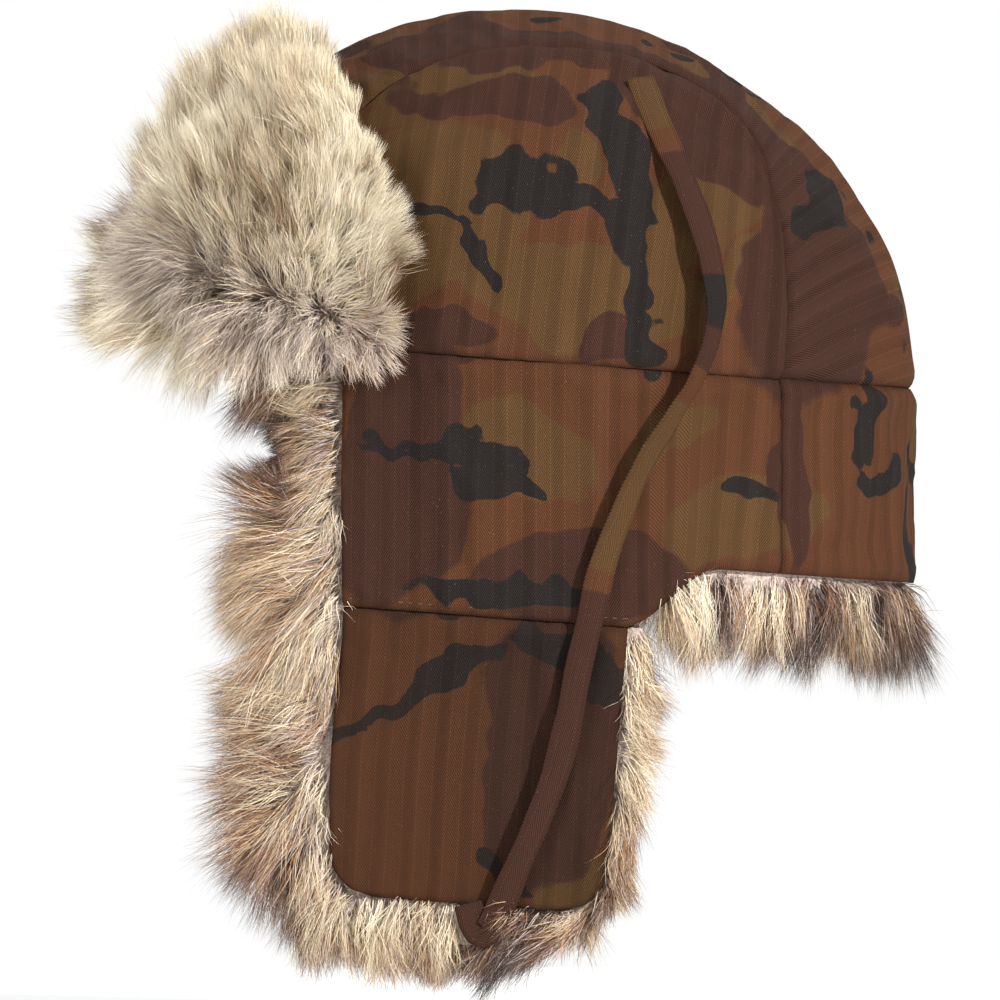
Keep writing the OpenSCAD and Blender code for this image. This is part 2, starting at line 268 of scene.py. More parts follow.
def crown_centre_surface(u, v, depth):
    p = along_line(SEAM_LINE, u)
    p[..., 1] *= mix(1, -1, v)
    return crown_point(p, depth)


BAND_STEP_START, BAND_STEP = FLAP_BACK - 2, 32


def band_foot(x):
    """The band's hem: the fold over the ear flap, then a step up to the neck's hem."""
    return -mix(FOLD_DEPTH - 0.05, NECK_DEPTH, ramp((x - BAND_STEP_START) / BAND_STEP))


def band_surface(front, back, head):
    def surface(u, v, depth):
        x = mix(front, back, u)
        return side_point(x, mix(band_foot(x), head, v), depth)
    return surface


BAND = band_surface(BAND_FRONT, BAND_BACK, -0.1)


def ring_surface(angles, heights):
    def surface(u, v, depth):
        return crown_point(round_head(mix(*angles, u), mix(*heights, v)), depth)
    return surface


def corner_cut(above, r):
    """How far a corner of radius r is cut back, at a height above its hem."""
    return np.where(above > r, 0, r - np.sqrt(np.maximum(r * r - (r - above) ** 2, 0)))


FLAP_FRONT_STEP, FLAP_FRONT_RUN, FLAP_TAPER, HEM_ROWS = 4, 60, 8, 1.25


def flap_surface(forward, behind, below, corner):
    """The ear flap, or a sheet that stands past its edges or inside them."""
    foot = -FLAP_DEPTH - below

    def surface(u, v, depth):
        z = mix(foot, -FOLD_DEPTH, 1 - (1 - v) ** HEM_ROWS)
        front = BAND_FRONT - FLAP_FRONT_STEP * ramp((-z - FOLD_DEPTH) / FLAP_FRONT_RUN) - forward
        back = FLAP_BACK - FLAP_TAPER * (-z - FOLD_DEPTH) / (FLAP_DEPTH - FOLD_DEPTH) + behind
        cut = corner_cut(z - foot, corner)
        return side_point(mix(front + cut, back - cut, u), z, depth)
    return surface


VISOR_LEAN, VISOR_LEAN_START, VISOR_LEAN_POWER = 19, 30, 2.2


def visor_edge_angle(z, past):
    """Where the visor's free edge is: it leans forward above VISOR_LEAN_START."""
    level = np.clip(z, 0, VISOR_HEIGHT - 2)
    share = np.maximum(level - VISOR_LEAN_START, 0) / (VISOR_HEIGHT - VISOR_LEAN_START)
    x = VISOR_END - VISOR_LEAN * share ** VISOR_LEAN_POWER
    return np.degrees(np.arccos(-(x + past) / HALF[0] / np.sqrt(1 - (level / HALF[2]) ** 2)))


VISOR_SEAM = 0.1         # degrees between the visor's middle and each end


def visor_middle_surface(foot, head):
    def surface(u, v, depth):
        angle = mix(-1, 1, u) * (VISOR_MIDDLE - VISOR_SEAM)
        return crown_point(round_head(angle, mix(foot, head, v)), depth)
    return surface


def visor_end_surface(foot, head, past=0):
    def surface(u, v, depth):
        z = mix(foot, head, v)
        angle = mix(VISOR_MIDDLE + VISOR_SEAM, visor_edge_angle(z, past), u)
        return crown_point(round_head(angle, z), depth)
    return surface


# ---------------------------------------------------------------- meshes

def write_mesh(name, points, faces, material, uv=None, uv_name="cloth", values=None):
    """A smooth mesh object from points in millimetres and arrays of faces."""
    mesh = bpy.data.meshes.new(name)
    mesh.vertices.add(len(points))
    mesh.vertices.foreach_set("co", (points * MM).astype(np.float32).ravel())
    corners = np.concatenate([f.ravel() for f in faces]).astype(np.int32)
    sizes = np.concatenate([np.full(len(f), f.shape[1]) for f in faces])
    mesh.loops.add(len(corners))
    mesh.loops.foreach_set("vertex_index", corners)
    mesh.polygons.add(len(sizes))
    mesh.polygons.foreach_set("loop_start", (np.cumsum(sizes) - sizes).astype(np.int32))
    mesh.polygons.foreach_set("use_smooth", np.ones(len(sizes), bool))
    if uv is not None:
        layer = mesh.uv_layers.new(name=uv_name)
        layer.data.foreach_set("uv", uv[corners].astype(np.float32).ravel())
    for key, value in (values or {}).items():
        mesh.attributes.new(key, "FLOAT", "POINT").data.foreach_set(
            "value", np.asarray(value, np.float32).ravel())
    mesh.update(calc_edges=True)
    mesh.validate()
    mesh.materials.append(material)
    piece = bpy.data.objects.new(name, mesh)
    bpy.context.scene.collection.objects.link(piece)
    return piece


def mirrored(points):
    return points * np.array([1, -1, 1])


def grid_faces(rows, cols, flip):
    """Faces of a closed sheet: an outer grid of points, then an inner one. A mirrored sheet isn't
    flipped."""
    count = rows * cols
    i = np.arange(count).reshape(rows, cols)
    top = np.stack([i[:-1, :-1], i[:-1, 1:], i[1:, 1:], i[1:, :-1]], -1).reshape(-1, 4)
    rim = np.concatenate([i[0, :], i[1:, -1], i[-1, -2::-1], i[-2::-1, 0]])
    turn = np.stack([rim[:-1], rim[:-1] + count, rim[1:] + count, rim[1:]], -1)
    faces = np.concatenate([top, top[:, ::-1] + count, turn])
    return faces[:, ::-1] if flip else faces


def arc_lengths(points, axis):
    """How far each point of a grid is from its first one, along a row or column."""
    step = np.linalg.norm(np.diff(points, axis=axis), axis=-1)
    pad = [(0, 0), (0, 0)]
    pad[axis] = (1, 0)
    return np.cumsum(np.pad(step, pad), axis=axis)


SEAM, HEM, NONE = "seam", "hem", ""


def edge_relief(kind, d, along, seed):
    """How a sewn edge shapes the cloth at distance d from it: a groove, a swell and puckers."""
    if kind == NONE:
        return 0 * d
    wobble = np.sin(along / 1.15 + 2.2 * np.sin(along / 7.1 + seed) + seed)
    wobble = wobble * (0.6 + 0.4 * np.sin(along / 9.3 + 2 * seed))
    if kind == HEM:
        edge, swell = -0.5 * np.exp(-(d / 1.6) ** 2), 0.3 * np.exp(-((d - 5) / 3) ** 2)
        return edge + swell + 0.10 * wobble * np.exp(-d / 5)
    groove = -1.15 * np.exp(-(d / 1.5) ** 2)
    swell = 0.55 * np.exp(-((d - 5) / 4.0) ** 2)
    return groove + swell + 0.24 * wobble * np.exp(-d / 5)


def stretch(rough, rows, cols):
    """A small grid of numbers, spread smoothly over rows by cols."""
    r = np.linspace(0, rough.shape[0] - 1, rows)
    c = np.linspace(0, rough.shape[1] - 1, cols)
    tall = np.stack([np.interp(r, np.arange(rough.shape[0]), col) for col in rough.T], 1)
    return np.stack([np.interp(c, np.arange(rough.shape[1]), row) for row in tall])


def blurred(grid, times):
    for _ in range(times):
        padded = np.pad(grid, 1, mode="edge")
        grid = (grid * 2 + padded[:-2, 1:-1] + padded[2:, 1:-1]
                + padded[1:-1, :-2] + padded[1:-1, 2:]) / 6
    return grid


SIM_SPACING = 4.5        # between the points of a simulated cloth
SIM_FRAMES, SIM_PRESSURE, SIM_MASS, SIM_BENDING, SIM_QUALITY = 20, 4, 0.2, 0.3, 6
SIM_GROWTH = -0.012      # the cloth is cut this share too large, so that it folds
SIM_CAP = 2.0            # no point moves further than this
BROAD_SHARE = 0.25       # of the broad swelling, beside all of the folds


def slack(surface, width, height, seed):
    """How a sewn panel's cloth settles, in millimetres outwards: a simulation held at its edges."""
    cols, rows = int(width / SIM_SPACING) + 2, int(height / SIM_SPACING) + 2
    if min(rows, cols) < 6:
        return np.zeros((rows, cols))
    u, v = np.meshgrid(np.linspace(0, 1, cols), np.linspace(0, 1, rows))
    start = surface(u, v, 0.15 * noise(np.stack([u * width, v * height], -1), 14, seed))
    normal = unit(surface(u, v, 0 * u + 1) - surface(u, v, 0 * u))
    i = np.arange(rows * cols).reshape(rows, cols)
    faces = np.stack([i[:-1, :-1], i[:-1, 1:], i[1:, 1:], i[1:, :-1]], -1).reshape(-1, 4)
    mesh = bpy.data.meshes.new("sewn")
    mesh.from_pydata((start.reshape(-1, 3) * MM).tolist(), [], faces[:, ::-1].tolist())
    cloth = bpy.data.objects.new("sewn", mesh)
    bpy.context.scene.collection.objects.link(cloth)
    pins = cloth.vertex_groups.new(name="pins")
    pins.add(np.concatenate([i[0], i[-1], i[:, 0], i[:, -1]]).tolist(), 1.0, "REPLACE")
    modifier = cloth.modifiers.new("cloth", "CLOTH")
    settings = modifier.settings
    settings.quality = SIM_QUALITY
    settings.mass = SIM_MASS
    settings.bending_stiffness = SIM_BENDING
    settings.vertex_group_mass = "pins"
    settings.use_pressure = True
    settings.uniform_pressure_force = SIM_PRESSURE
    settings.shrink_min = SIM_GROWTH
    settings.effector_weights.gravity = 0
    modifier.point_cache.frame_start, modifier.point_cache.frame_end = 1, SIM_FRAMES
    for frame_number in range(1, SIM_FRAMES + 1):
        bpy.context.scene.frame_set(frame_number)
    solved = cloth.evaluated_get(bpy.context.evaluated_depsgraph_get()).to_mesh()
    moved = np.empty(rows * cols * 3, np.float32)
    solved.vertices.foreach_get("co", moved)
    cloth.to_mesh_clear()
    bpy.data.objects.remove(cloth)
    bpy.context.scene.frame_set(1)
    out = ((moved.reshape(rows, cols, 3) / MM - start) * normal).sum(-1)
    broad = blurred(out, 24)
    return SIM_CAP * np.tanh((BROAD_SHARE * broad + (out - broad)) / SIM_CAP)


RELIEFS = {}             # each panel's relief, by its name
RELIEF_LIMIT = 1.7       # how far a panel may sink, so that it stays above the layer behind it


def panel(name, node, surface, layer, material, edges=(NONE,) * 4, right=False, lumps=0.0,
          seed=1, spacing=SPACING, extra=None, follow=None, pressed=False, shade=0.0):
    """A closed sheet of cloth. edges says how the u=0, u=1, v=0 and v=1 edges are sewn.

    follow names a panel whose relief this one shares, pressed keeps its inner face smooth, and
    the last argument is painted shade: how much darker its cloth is painted, for less light falling on
    it."""
    u, v = np.meshgrid(np.linspace(0, 1, 9), np.linspace(0, 1, 9))
    rough = surface(u, v, 0 * u)
    cols = int(arc_lengths(rough, 1)[:, -1].max() / spacing) + 2
    rows = int(arc_lengths(rough, 0)[-1].max() / spacing) + 2
    u, v = np.meshgrid(np.linspace(0, 1, cols), np.linspace(0, 1, rows))
    base = surface(u, v, 0 * u)
    across, upward = arc_lengths(base, 1), arc_lengths(base, 0)
    gaps = [across, across[:, -1:] - across, upward, upward[-1:] - upward]
    runs = [upward, upward, across, across]
    relief = sum(edge_relief(kind, d, run, seed + i)
                 for i, (kind, d, run) in enumerate(zip(edges, gaps, runs)))
    relief = relief + lumps * (noise(base, 42, seed) + 0.35 * noise(base, 17, seed + 3))
    if material is CAMOUFLAGE:
        settled = slack(surface, across[:, -1].max(), upward[-1].max(), seed)
        relief = relief + stretch(settled, rows, cols)
    if extra is not None:
        relief = relief + extra(across, upward)
    if follow:
        relief = stretch(RELIEFS[follow], rows, cols)
    relief = np.maximum(relief, -RELIEF_LIMIT)
    RELIEFS[name] = relief
    outer = surface(u, v, layer[0] + relief)
    inner = surface(u, v, layer[1] + (0 if pressed else relief))
    points = np.concatenate([outer.reshape(-1, 3), inner.reshape(-1, 3)])
    middle = across[:, cols // 2:cols // 2 + 1]
    uv = np.stack([across - middle, upward], -1).reshape(-1, 2)
    uv = np.concatenate([uv, uv])
    worn = sum(np.exp(-(d / 2.2) ** 2) for kind, d in zip(edges, gaps) if kind) + 0 * u
    values = {"worn": np.clip(worn, 0, 1).ravel(), "shade": np.full(rows * cols, shade),
              **camouflage(base.reshape(-1, 3), seed)}
    values = {key: np.tile(value, 2) for key, value in values.items()}
    if right:
        points = mirrored(points)
    piece = write_mesh(name, points, [grid_faces(rows, cols, not right)], material, uv, values=values)
    if node:
        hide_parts(node)
    return piece


# ---------------------------------------------------------------- camouflage print

# The print's ovals on the side of the hat: x, z, half length, half height, turn in degrees
OLIVES = [(-32, 91, 27, 9, 5), (-36, 50, 30, 26, 20), (14, 24, 42, 15, -8), (47, 52, 25, 14, 25),
          (62, 33, 12, 6, 40), (66, -48, 24, 14, 10), (-2, -28, 20, 14, -30), (40, -20, 15, 8, 30),
          (14, -168, 16, 9, 0), (70, 84, 22, 8, -38),
          (8, 66, 12, 6, 60), (-36, 84, 22, 5, 14)]
PLUMS = [(-14, 104, 60, 7, 0), (-6, 113, 78, 7, -2), (-6, 86, 20, 8, -10), (62, 78, 16, 24, 20),
         (-40, 12, 26, 7, -12), (-44, -34, 20, 44, -8), (12, -66, 36, 14, 5), (6, -112, 20, 34, 15),
         (2, -140, 22, 22, 0), (81, -34, 5, 30, 0), (94, 40, 26, 54, -18), (36, 92, 16, 10, -30),
         (24, 8, 10, 6, 0), (-28, 86, 20, 6, 6)]
COALS = [(-9, 58, 16, 9, 10), (8, 60, 16, 5, -25), (24, 74, 6, 20, 8), (26, 50, 5, 18, -6),
         (30, 26, 4, 16, 4), (34, 8, 5, 8, 0), (-24, 40, 16, 2.6, -52), (-16, 30, 3, 10, 10),
         (-38, 52, 14, 2.6, -20), (-16, -34, 12, 7, 30), (-4, -38, 10, 3, -40), (-24, -26, 6, 6, 0),
         (-40, -24, 18, 2.6, 4), (-10, -72, 30, 5, 3), (-42, -106, 26, 4.2, 24), (-26, -95, 14, 5, 20),
         (2, -90, 14, 6, -20), (22, -100, 9, 5, -40),
         (-58, -116, 12, 2.4, 30), (104, -14, 3.5, 16, -14), (110, -32, 12, 4, 20), (92, 58, 10, 12, -40),
         (70, -38, 8, 4, 0), (-12, -158, 12, 4, -30)]


# Each colour's ovals, how wide its loose patches are, how little they cover, and how ragged it is
PRINT = (("olive", OLIVES, 46, 0.05, 1.6), ("plum", PLUMS, 42, 0.12, 1.6), ("coal", COALS, 30, 0.44, 3.4))
# The hat's middle strip has loose patches, and its sides have the ovals
LOOSE_HALF, LOOSE_FADE = 16, 20


def ovals(p, shapes):
    """Above 0 inside any of the ovals, seen from the side."""
    best = np.full(len(p), -1.0)
    for x, z, half_x, half_z, turn in shapes:
        c, s = math.cos(math.radians(turn)), math.sin(math.radians(turn))
        dx, dz = p[:, 0] - x, p[:, 2] - z
        e, f = (dx * c + dz * s) / half_x, (dz * c - dx * s) / half_z
        best = np.maximum(best, 1 - np.sqrt(e * e + f * f))
    return best


def camouflage(p, seed):
    """Fields over the cloth: each colour of the print shows where its field is above 0."""
    warp = drift(p, 17, seed + 31, seed + 47, seed + 59)
    fine = drift(p, 6, seed + 61, seed + 67, seed + 71)
    drawn = ramp((np.abs(p[:, 1]) - LOOSE_HALF) / LOOSE_FADE)
    # Loose patches are longer along a slant
    slant = (p + 5 * warp + 1.6 * fine) @ np.array([[0.9, 0, 0.35], [0, 0.8, 0], [-0.45, 0, 0.62]])
    fields = {}
    for key, shapes, size, share, ragged in PRINT:
        loose = rough_noise(slant + 300 * share, size, seed + len(key)) - share
        fields[key] = mix(loose, ovals(p + 5 * warp + ragged * fine, shapes) + 0.05, drawn)
    return fields


# ---------------------------------------------------------------- materials

def srgb(code):
    """A linear colour from a code such as "37231c"."""
    c = np.array([int(code[i:i + 2], 16) for i in (0, 2, 4)]) / 255
    c = np.where(c <= 0.04045, c / 12.92, ((c + 0.055) / 1.055) ** 2.4)
    return (*c.tolist(), 1.0)


class Shader:
    """A new material, with short ways to add nodes to it."""

    def __init__(self, name, roughness, specular=0.5):
        self.material = bpy.data.materials.new(name)
        self.material.use_nodes = True
        self.nodes, self.links = self.material.node_tree.nodes, self.material.node_tree.links
        self.inputs = self.nodes["Principled BSDF"].inputs
        self.inputs["Roughness"].default_value = roughness
        self.inputs["Specular IOR Level"].default_value = specular

    def put(self, value, socket):
        if isinstance(value, bpy.types.NodeSocket):
            self.links.new(value, socket)
        else:
            socket.default_value = value

    def maths(self, operation, *values):
        node = self.nodes.new("ShaderNodeMath")
        node.operation = operation
        for value, socket in zip(values, node.inputs):
            self.put(value, socket)
        return node.outputs[0]

    def around(self, value, share, base):
        """base plus share times how far the value, from 0 to 1, lies above a half."""
        return self.maths("MULTIPLY_ADD", self.maths("SUBTRACT", value, 0.5), share, base)

    def blend(self, factor, a, b, how="MIX"):
        node = self.nodes.new("ShaderNodeMix")
        node.data_type = "RGBA"
        node.blend_type = how
        for value, socket in zip((factor, a, b), [s for s in node.inputs if s.enabled]):
            self.put(value, socket)
        return [s for s in node.outputs if s.enabled][0]

    def ramp(self, value, stops, smooth=False):
        """Colours at places from 0 to 1, the first and last places given before those between."""
        node = self.nodes.new("ShaderNodeValToRGB")
        node.color_ramp.interpolation = "EASE" if smooth else "LINEAR"
        for i, (at, code) in enumerate(stops):
            element = node.color_ramp.elements[i] if i < 2 else node.color_ramp.elements.new(at)
            element.position = at
            element.color = srgb(code)
        self.links.new(value, node.inputs[0])
        return node.outputs[0]

    def texture(self, where, scale, detail=2.0):
        node = self.nodes.new("ShaderNodeTexNoise")
        node.inputs["Scale"].default_value = scale
        node.inputs["Detail"].default_value = detail
        self.links.new(where, node.inputs["Vector"])
        return node.outputs[0]

    def attribute(self, name):
        node = self.nodes.new("ShaderNodeAttribute")
        node.attribute_name = name
        return node.outputs["Fac"]

    def uv(self, name):
        node = self.nodes.new("ShaderNodeUVMap")
        node.uv_map = name
        return node.outputs[0]

    def split(self, vector):
        node = self.nodes.new("ShaderNodeSeparateXYZ")
        self.links.new(vector, node.inputs[0])
        return node.outputs[0], node.outputs[1]

    def bump(self, height, distance, strength=1.0):
        node = self.nodes.new("ShaderNodeBump")
        node.inputs["Strength"].default_value = strength
        node.inputs["Distance"].default_value = distance
        self.links.new(height, node.inputs["Height"])
        self.links.new(node.outputs[0], self.inputs["Normal"])

    def herringbone(self, stripe, thread):
        """Waves over the cloth's own millimetres: slanting threads, warp threads, stripes' edges."""
        uv = self.uv("cloth")
        x, y = self.split(uv)
        slope = self.maths("MULTIPLY_ADD", self.maths("PINGPONG", x, stripe), TWILL_SLOPE, y)
        waves = ((slope, 2 * math.pi / thread), (x, 2 * math.pi / (thread * WARP_SHARE)),
                 (x, math.pi / stripe))
        wave, warp, edge = (self.maths("SINE", self.maths("MULTIPLY", value, turns))
                            for value, turns in waves)
        return wave, warp, edge, uv, x


# The herringbone in millimetres: a stripe's width, the distance between its slanting threads, how
# steeply they slant, and how much closer the warp threads lie
STRIPE, TWILL, TWILL_SLOPE, WARP_SHARE = 4.6, 1.25, 1.7, 0.62
PRINT_BASE, PRINT_COLOURS = "492d1d", (("olive", "49341f"), ("plum", "37231c"), ("coal", "211d1b"))
PRINT_SHARPNESS = 17.0


def cloth_material():
    g = Shader("camouflage_cloth", 0.9, 0.06)
    wave, warp, edge, uv, x = g.herringbone(STRIPE, TWILL)
    fuzz = g.texture(uv, 0.9, 4)
    fine = g.texture(uv, 3.5, 3)
    colour = srgb(PRINT_BASE)
    for key, code in PRINT_COLOURS:
        ragged = g.around(fuzz, 0.10, g.attribute(key))
        clamp = g.nodes.new("ShaderNodeClamp")
        g.links.new(g.maths("MULTIPLY_ADD", ragged, PRINT_SHARPNESS, 0.5), clamp.inputs[0])
        colour = g.blend(clamp.outputs[0], colour, srgb(code))
    # Light and dark threads, with some stripes paler, then wear at the edges
    threads = g.maths("MULTIPLY_ADD", wave, 0.42, 1.02)
    threads = g.maths("MULTIPLY_ADD", warp, 0.05, threads)
    thin = g.maths("LESS_THAN", g.maths("ABSOLUTE", edge), 0.14)
    threads = g.maths("MULTIPLY_ADD", thin, 0.22, threads)
    grain = g.around(fine, 1.1, threads)
    along_x = g.nodes.new("ShaderNodeCombineXYZ")
    g.links.new(x, along_x.inputs[0])
    grain = g.around(g.texture(along_x.outputs[0], 0.13, 3), 0.8, grain)
    grain = g.maths("MULTIPLY_ADD", edge, 0.09, grain)
    grey = g.nodes.new("ShaderNodeCombineColor")
    for socket in grey.inputs:
        g.links.new(grain, socket)
    colour = g.blend(1.0, colour, grey.outputs[0], "MULTIPLY")
    # Pale lint fibres caught in the weave
    lint = g.maths("MULTIPLY", g.maths("GREATER_THAN", g.texture(uv, 1.7, 6), 0.70), 0.35)
    colour = g.blend(lint, colour, srgb("a08468"))
    # Painted shade: the cloth is darkened towards 21170f by the painted-shade value, standing in for less
    # light reaching it
    colour = g.blend(g.attribute("shade"), colour, srgb("21170f"))
    colour = g.blend(g.maths("MULTIPLY", g.attribute("worn"), 0.30), colour, srgb("35231b"))
    g.links.new(colour, g.inputs["Base Color"])
    height = g.maths("MULTIPLY_ADD", wave, 0.7, g.maths("MULTIPLY", warp, 0.25))
    g.bump(g.maths("MULTIPLY_ADD", fine, 0.8, height), 0.00025, 0.5)
    return g.material


def fur_material():
    """Colour by the strand's tone (u) and the place along it (v, root to tip)."""
    g = Shader("fur_pile", 0.42, 0.35)
    tone, along = g.split(g.uv("OFBake"))
    # Roots are the fur's own mauve-grey, painted paler as painted light: light scattered down among the
    # hairs
    root = g.ramp(tone, [(0.0, "d3c1b4"), (1.0, "a8958d"), (0.35, "a38d80"), (0.7, "5a4439"),
                         (0.86, "3a2c28"), (0.89, "ab9890")])
    body = g.ramp(tone, [(0.0, "f0e6cd"), (1.0, "c0aea4"), (0.28, "dccaa9"), (0.46, "b3926c"),
                         (0.60, "8a5a3a"), (0.74, "5c3f30"), (0.86, "3c2d25"), (0.89, "c4b2a8")])
    tip = g.ramp(tone, [(0.0, "f6eed8"), (1.0, "d2c4b8"), (0.22, "e2cfad"), (0.40, "8c6748"),
                        (0.60, "573b2b"), (0.86, "2e231d"), (0.89, "cbbaae")])
    low = g.ramp(along, [(0.02, "ffffff"), (0.42, "000000")], True)
    high = g.ramp(along, [(0.62, "000000"), (0.95, "ffffff")], True)
    g.links.new(g.blend(high, g.blend(low, body, root), tip), g.inputs["Base Color"])
    g.inputs["Sheen Weight"].default_value = 0.25
    g.inputs["Sheen Roughness"].default_value = 0.4
    return g.material


def ground_material():
    """The knitted backing that the pile grows from, with short dense underfur."""
    g = Shader("pile_ground", 0.9)
    fuzz = g.texture(g.uv("cloth"), 0.8, 5)
    g.links.new(g.ramp(fuzz, [(0.3, "99877d"), (0.7, "c9b8ac")]), g.inputs["Base Color"])
    g.bump(fuzz, 0.0012)
    return g.material


def plain_cloth_material(name, dark, light, thread, roughness, distance=0.0003):
    """A plain weave or ribbon, by its dark and light threads."""
    g = Shader(name, roughness)
    wave, warp, _, uv, _ = g.herringbone(NO_STRIPES, thread)
    fuzz = g.texture(uv, 0.5, 4)
    both = g.maths("MULTIPLY_ADD", wave, 0.22, g.maths("MULTIPLY", warp, 0.22))
    both = g.maths("MULTIPLY_ADD", fuzz, 0.5, g.maths("ADD", both, 0.25))
    g.links.new(g.ramp(both, [(0.1, dark), (0.9, light)]), g.inputs["Base Color"])
    g.bump(both, distance)
    return g.material


def thread_material():
    g = Shader("sewing_thread", 0.6)
    twist = g.texture(g.nodes.new("ShaderNodeNewGeometry").outputs["Position"], 1800.0)
    g.links.new(g.ramp(twist, [(0.3, "3a2a20"), (0.7, "66503f")]), g.inputs["Base Color"])
    return g.material


NO_STRIPES = 400.0       # a stripe wider than any piece
CAMOUFLAGE = cloth_material()
FUR = fur_material()
GROUND = ground_material()
LINING_CLOTH = plain_cloth_material("quilted_lining", "2a2320", "4a3f39", 0.5, 0.42)
PAD = plain_cloth_material("padding", "cfc9bb", "f3efe6", 3.0, 0.95, 0.001)
CANVAS = plain_cloth_material("interlining_canvas", "5b4a3a", "7d6a55", 0.8, 0.9)
RIBBON = plain_cloth_material("sweatband_ribbon", "1d1917", "3a322d", 0.9, 0.55)
WOVEN_LABEL = plain_cloth_material("woven_label", "d9d4c6", "f7f4ec", 0.4, 0.5)
THREAD = thread_material()


# ---------------------------------------------------------------- cloth pieces

QUILT, QUILT_LINE, QUILT_DEPTH = 26.0, 0.22, 0.9
INNER_SPACING, LINING_SPACING, VISOR_SPACING = 2.4, 3, 4


def quilting(across, upward):
    """Diamond quilting: lines of stitches sink into the lining."""
    a, b = (across + upward) / QUILT, (across - upward) / QUILT
    line = np.minimum(np.abs(a - np.round(a)), np.abs(b - np.round(b)))
    return QUILT_DEPTH * (ramp(line / QUILT_LINE) - 1)


FOLD = np.array([-18.0, -98.0, -FOLD_DEPTH])
FOLD_DOWN = unit(np.array([SEAM_TILT, 0.0, 1.0])) * -1
FOLD_GAP, FOLD_LENGTH = 0.2, 20.0


def fold_blend(piece):
    start = place(FOLD) + FOLD_DOWN * FOLD_GAP
    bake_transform(piece)


def both_sides(make):
    for side, right in (("left", False), ("right", True)):
        make(side, right)


def crown():
    """Cloth, padding and quilted lining, for the centre strip and for both sides."""
    for part, surface, right, lumps, seed in (("centre", crown_centre_surface, False, 0.7, 3),
                                              ("left", crown_side_surface, False, 0.9, 11),
                                              ("right", crown_side_surface, True, 0.9, 16)):
        strip = part == "centre"
        name = "crown_centre_cloth" if strip else "crown_side_cloth_" + part
        node = "crown_centre_panel" if strip else "crown_side_panel_" + part
        cloth = panel(name, node, surface, CLOTH, CAMOUFLAGE, (SEAM,) * 4, right, lumps=lumps, seed=seed)
        pad = panel("crown_padding_" + part, "crown_wadding_" + part, surface, WADDING, PAD, right=right,
                    spacing=INNER_SPACING, follow=name, pressed=True)
        quilt = panel("crown_lining_%s_quilted" % part, "crown_lining_" + part, surface, LINING,
                      LINING_CLOTH, right=right, spacing=LINING_SPACING, extra=quilting)
        for piece in (cloth, pad, quilt):
            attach(piece, "root")


def lined(names, nodes, surfaces, edges, right=False, **looks):
    """A panel of camouflage cloth, and the interlining behind it."""
    return (panel(names[0], nodes[0], surfaces[0], CLOTH, CAMOUFLAGE, edges, right, **looks),
            panel(names[1], nodes[1], surfaces[1], INTERLINING, CANVAS, right=right,
                  spacing=INNER_SPACING, follow=names[0]))


def pile_ground(name, surface, layer, right=False, lumps=0.5):
    """The backing behind a fur's hair."""
    piece = panel(name, None, surface, layer, GROUND, right=right, spacing=LINING_SPACING, lumps=lumps)
    return piece


def band():
    def sides(side, right):
        for piece in lined(("side_band_cloth_" + side, "band_interlining_cloth_" + side),
                           ("side_band_" + side, "band_interlining_" + side),
                           (BAND, band_surface(BAND_FRONT + 3, 75, -3)),
                           (HEM, SEAM, SEAM, SEAM), right, lumps=0.8, seed=23 + 7 * right):
            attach(piece, "root")
    both_sides(sides)
    neck = lined(("neck_cloth", "neck_interlining_cloth"), ("neck_panel", "neck_interlining"),
                 (ring_surface((NECK_ANGLE + 0.1, 359.9 - NECK_ANGLE), (-NECK_DEPTH, -0.1)),
                  ring_surface((NECK_ANGLE + 2, 358 - NECK_ANGLE), (-NECK_DEPTH + 3, -3))),
                 (SEAM, SEAM, HEM, SEAM), lumps=0.8, seed=41)
    ribbon = panel("sweatband_ribbon", "sweatband", ring_surface((181, 539), (1, 30)), SWEATBAND, RIBBON,
                   spacing=2.5, lumps=0.2, seed=6, edges=(NONE, NONE, HEM, HEM))
    label = panel("size_label_woven", "size_label", ring_surface((171, 189), (6, 24)), LABEL, WOVEN_LABEL,
                  spacing=1.2, edges=(HEM,) * 4)
    for piece in (*neck, ribbon, label):
        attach(piece, "root")


def ear_flaps():
    def sides(side, right):
        flap = "ear_flap_" + side
        # The flaps' cloth is painted darker all over: painted shade, for less light falling on them
        for piece in lined((flap + "_cloth", flap + "_interlining_cloth"),
                           ("ear_flap_shell_" + side, "ear_flap_interlining_" + side),
                           (flap_surface(0, 0, 0, FLAP_CORNER), flap_surface(-4, -4, -4, FLAP_CORNER)),
                           (HEM, HEM, HEM, SEAM), right, lumps=0.9, seed=57 + 9 * right, shade=0.32):
            fold_blend(piece)
    both_sides(sides)


def visor_part(part, surfaces, edges, right, seed):
    """The cloth, interlining and fur's backing of the visor's middle or one end."""
    return (panel("visor_%s_cloth" % part, "visor_shell_" + part, surfaces[0], VISOR_CLOTH, CAMOUFLAGE,
                  edges, right, lumps=0.5, seed=seed),
            panel("visor_%s_interlining_cloth" % part, "visor_interlining_" + part, surfaces[1],
                  VISOR_INTERLINING, CANVAS, right=right, spacing=VISOR_SPACING),
            pile_ground("visor_%s_pile_ground" % part, surfaces[2], VISOR_GROUND, right, 0.2))


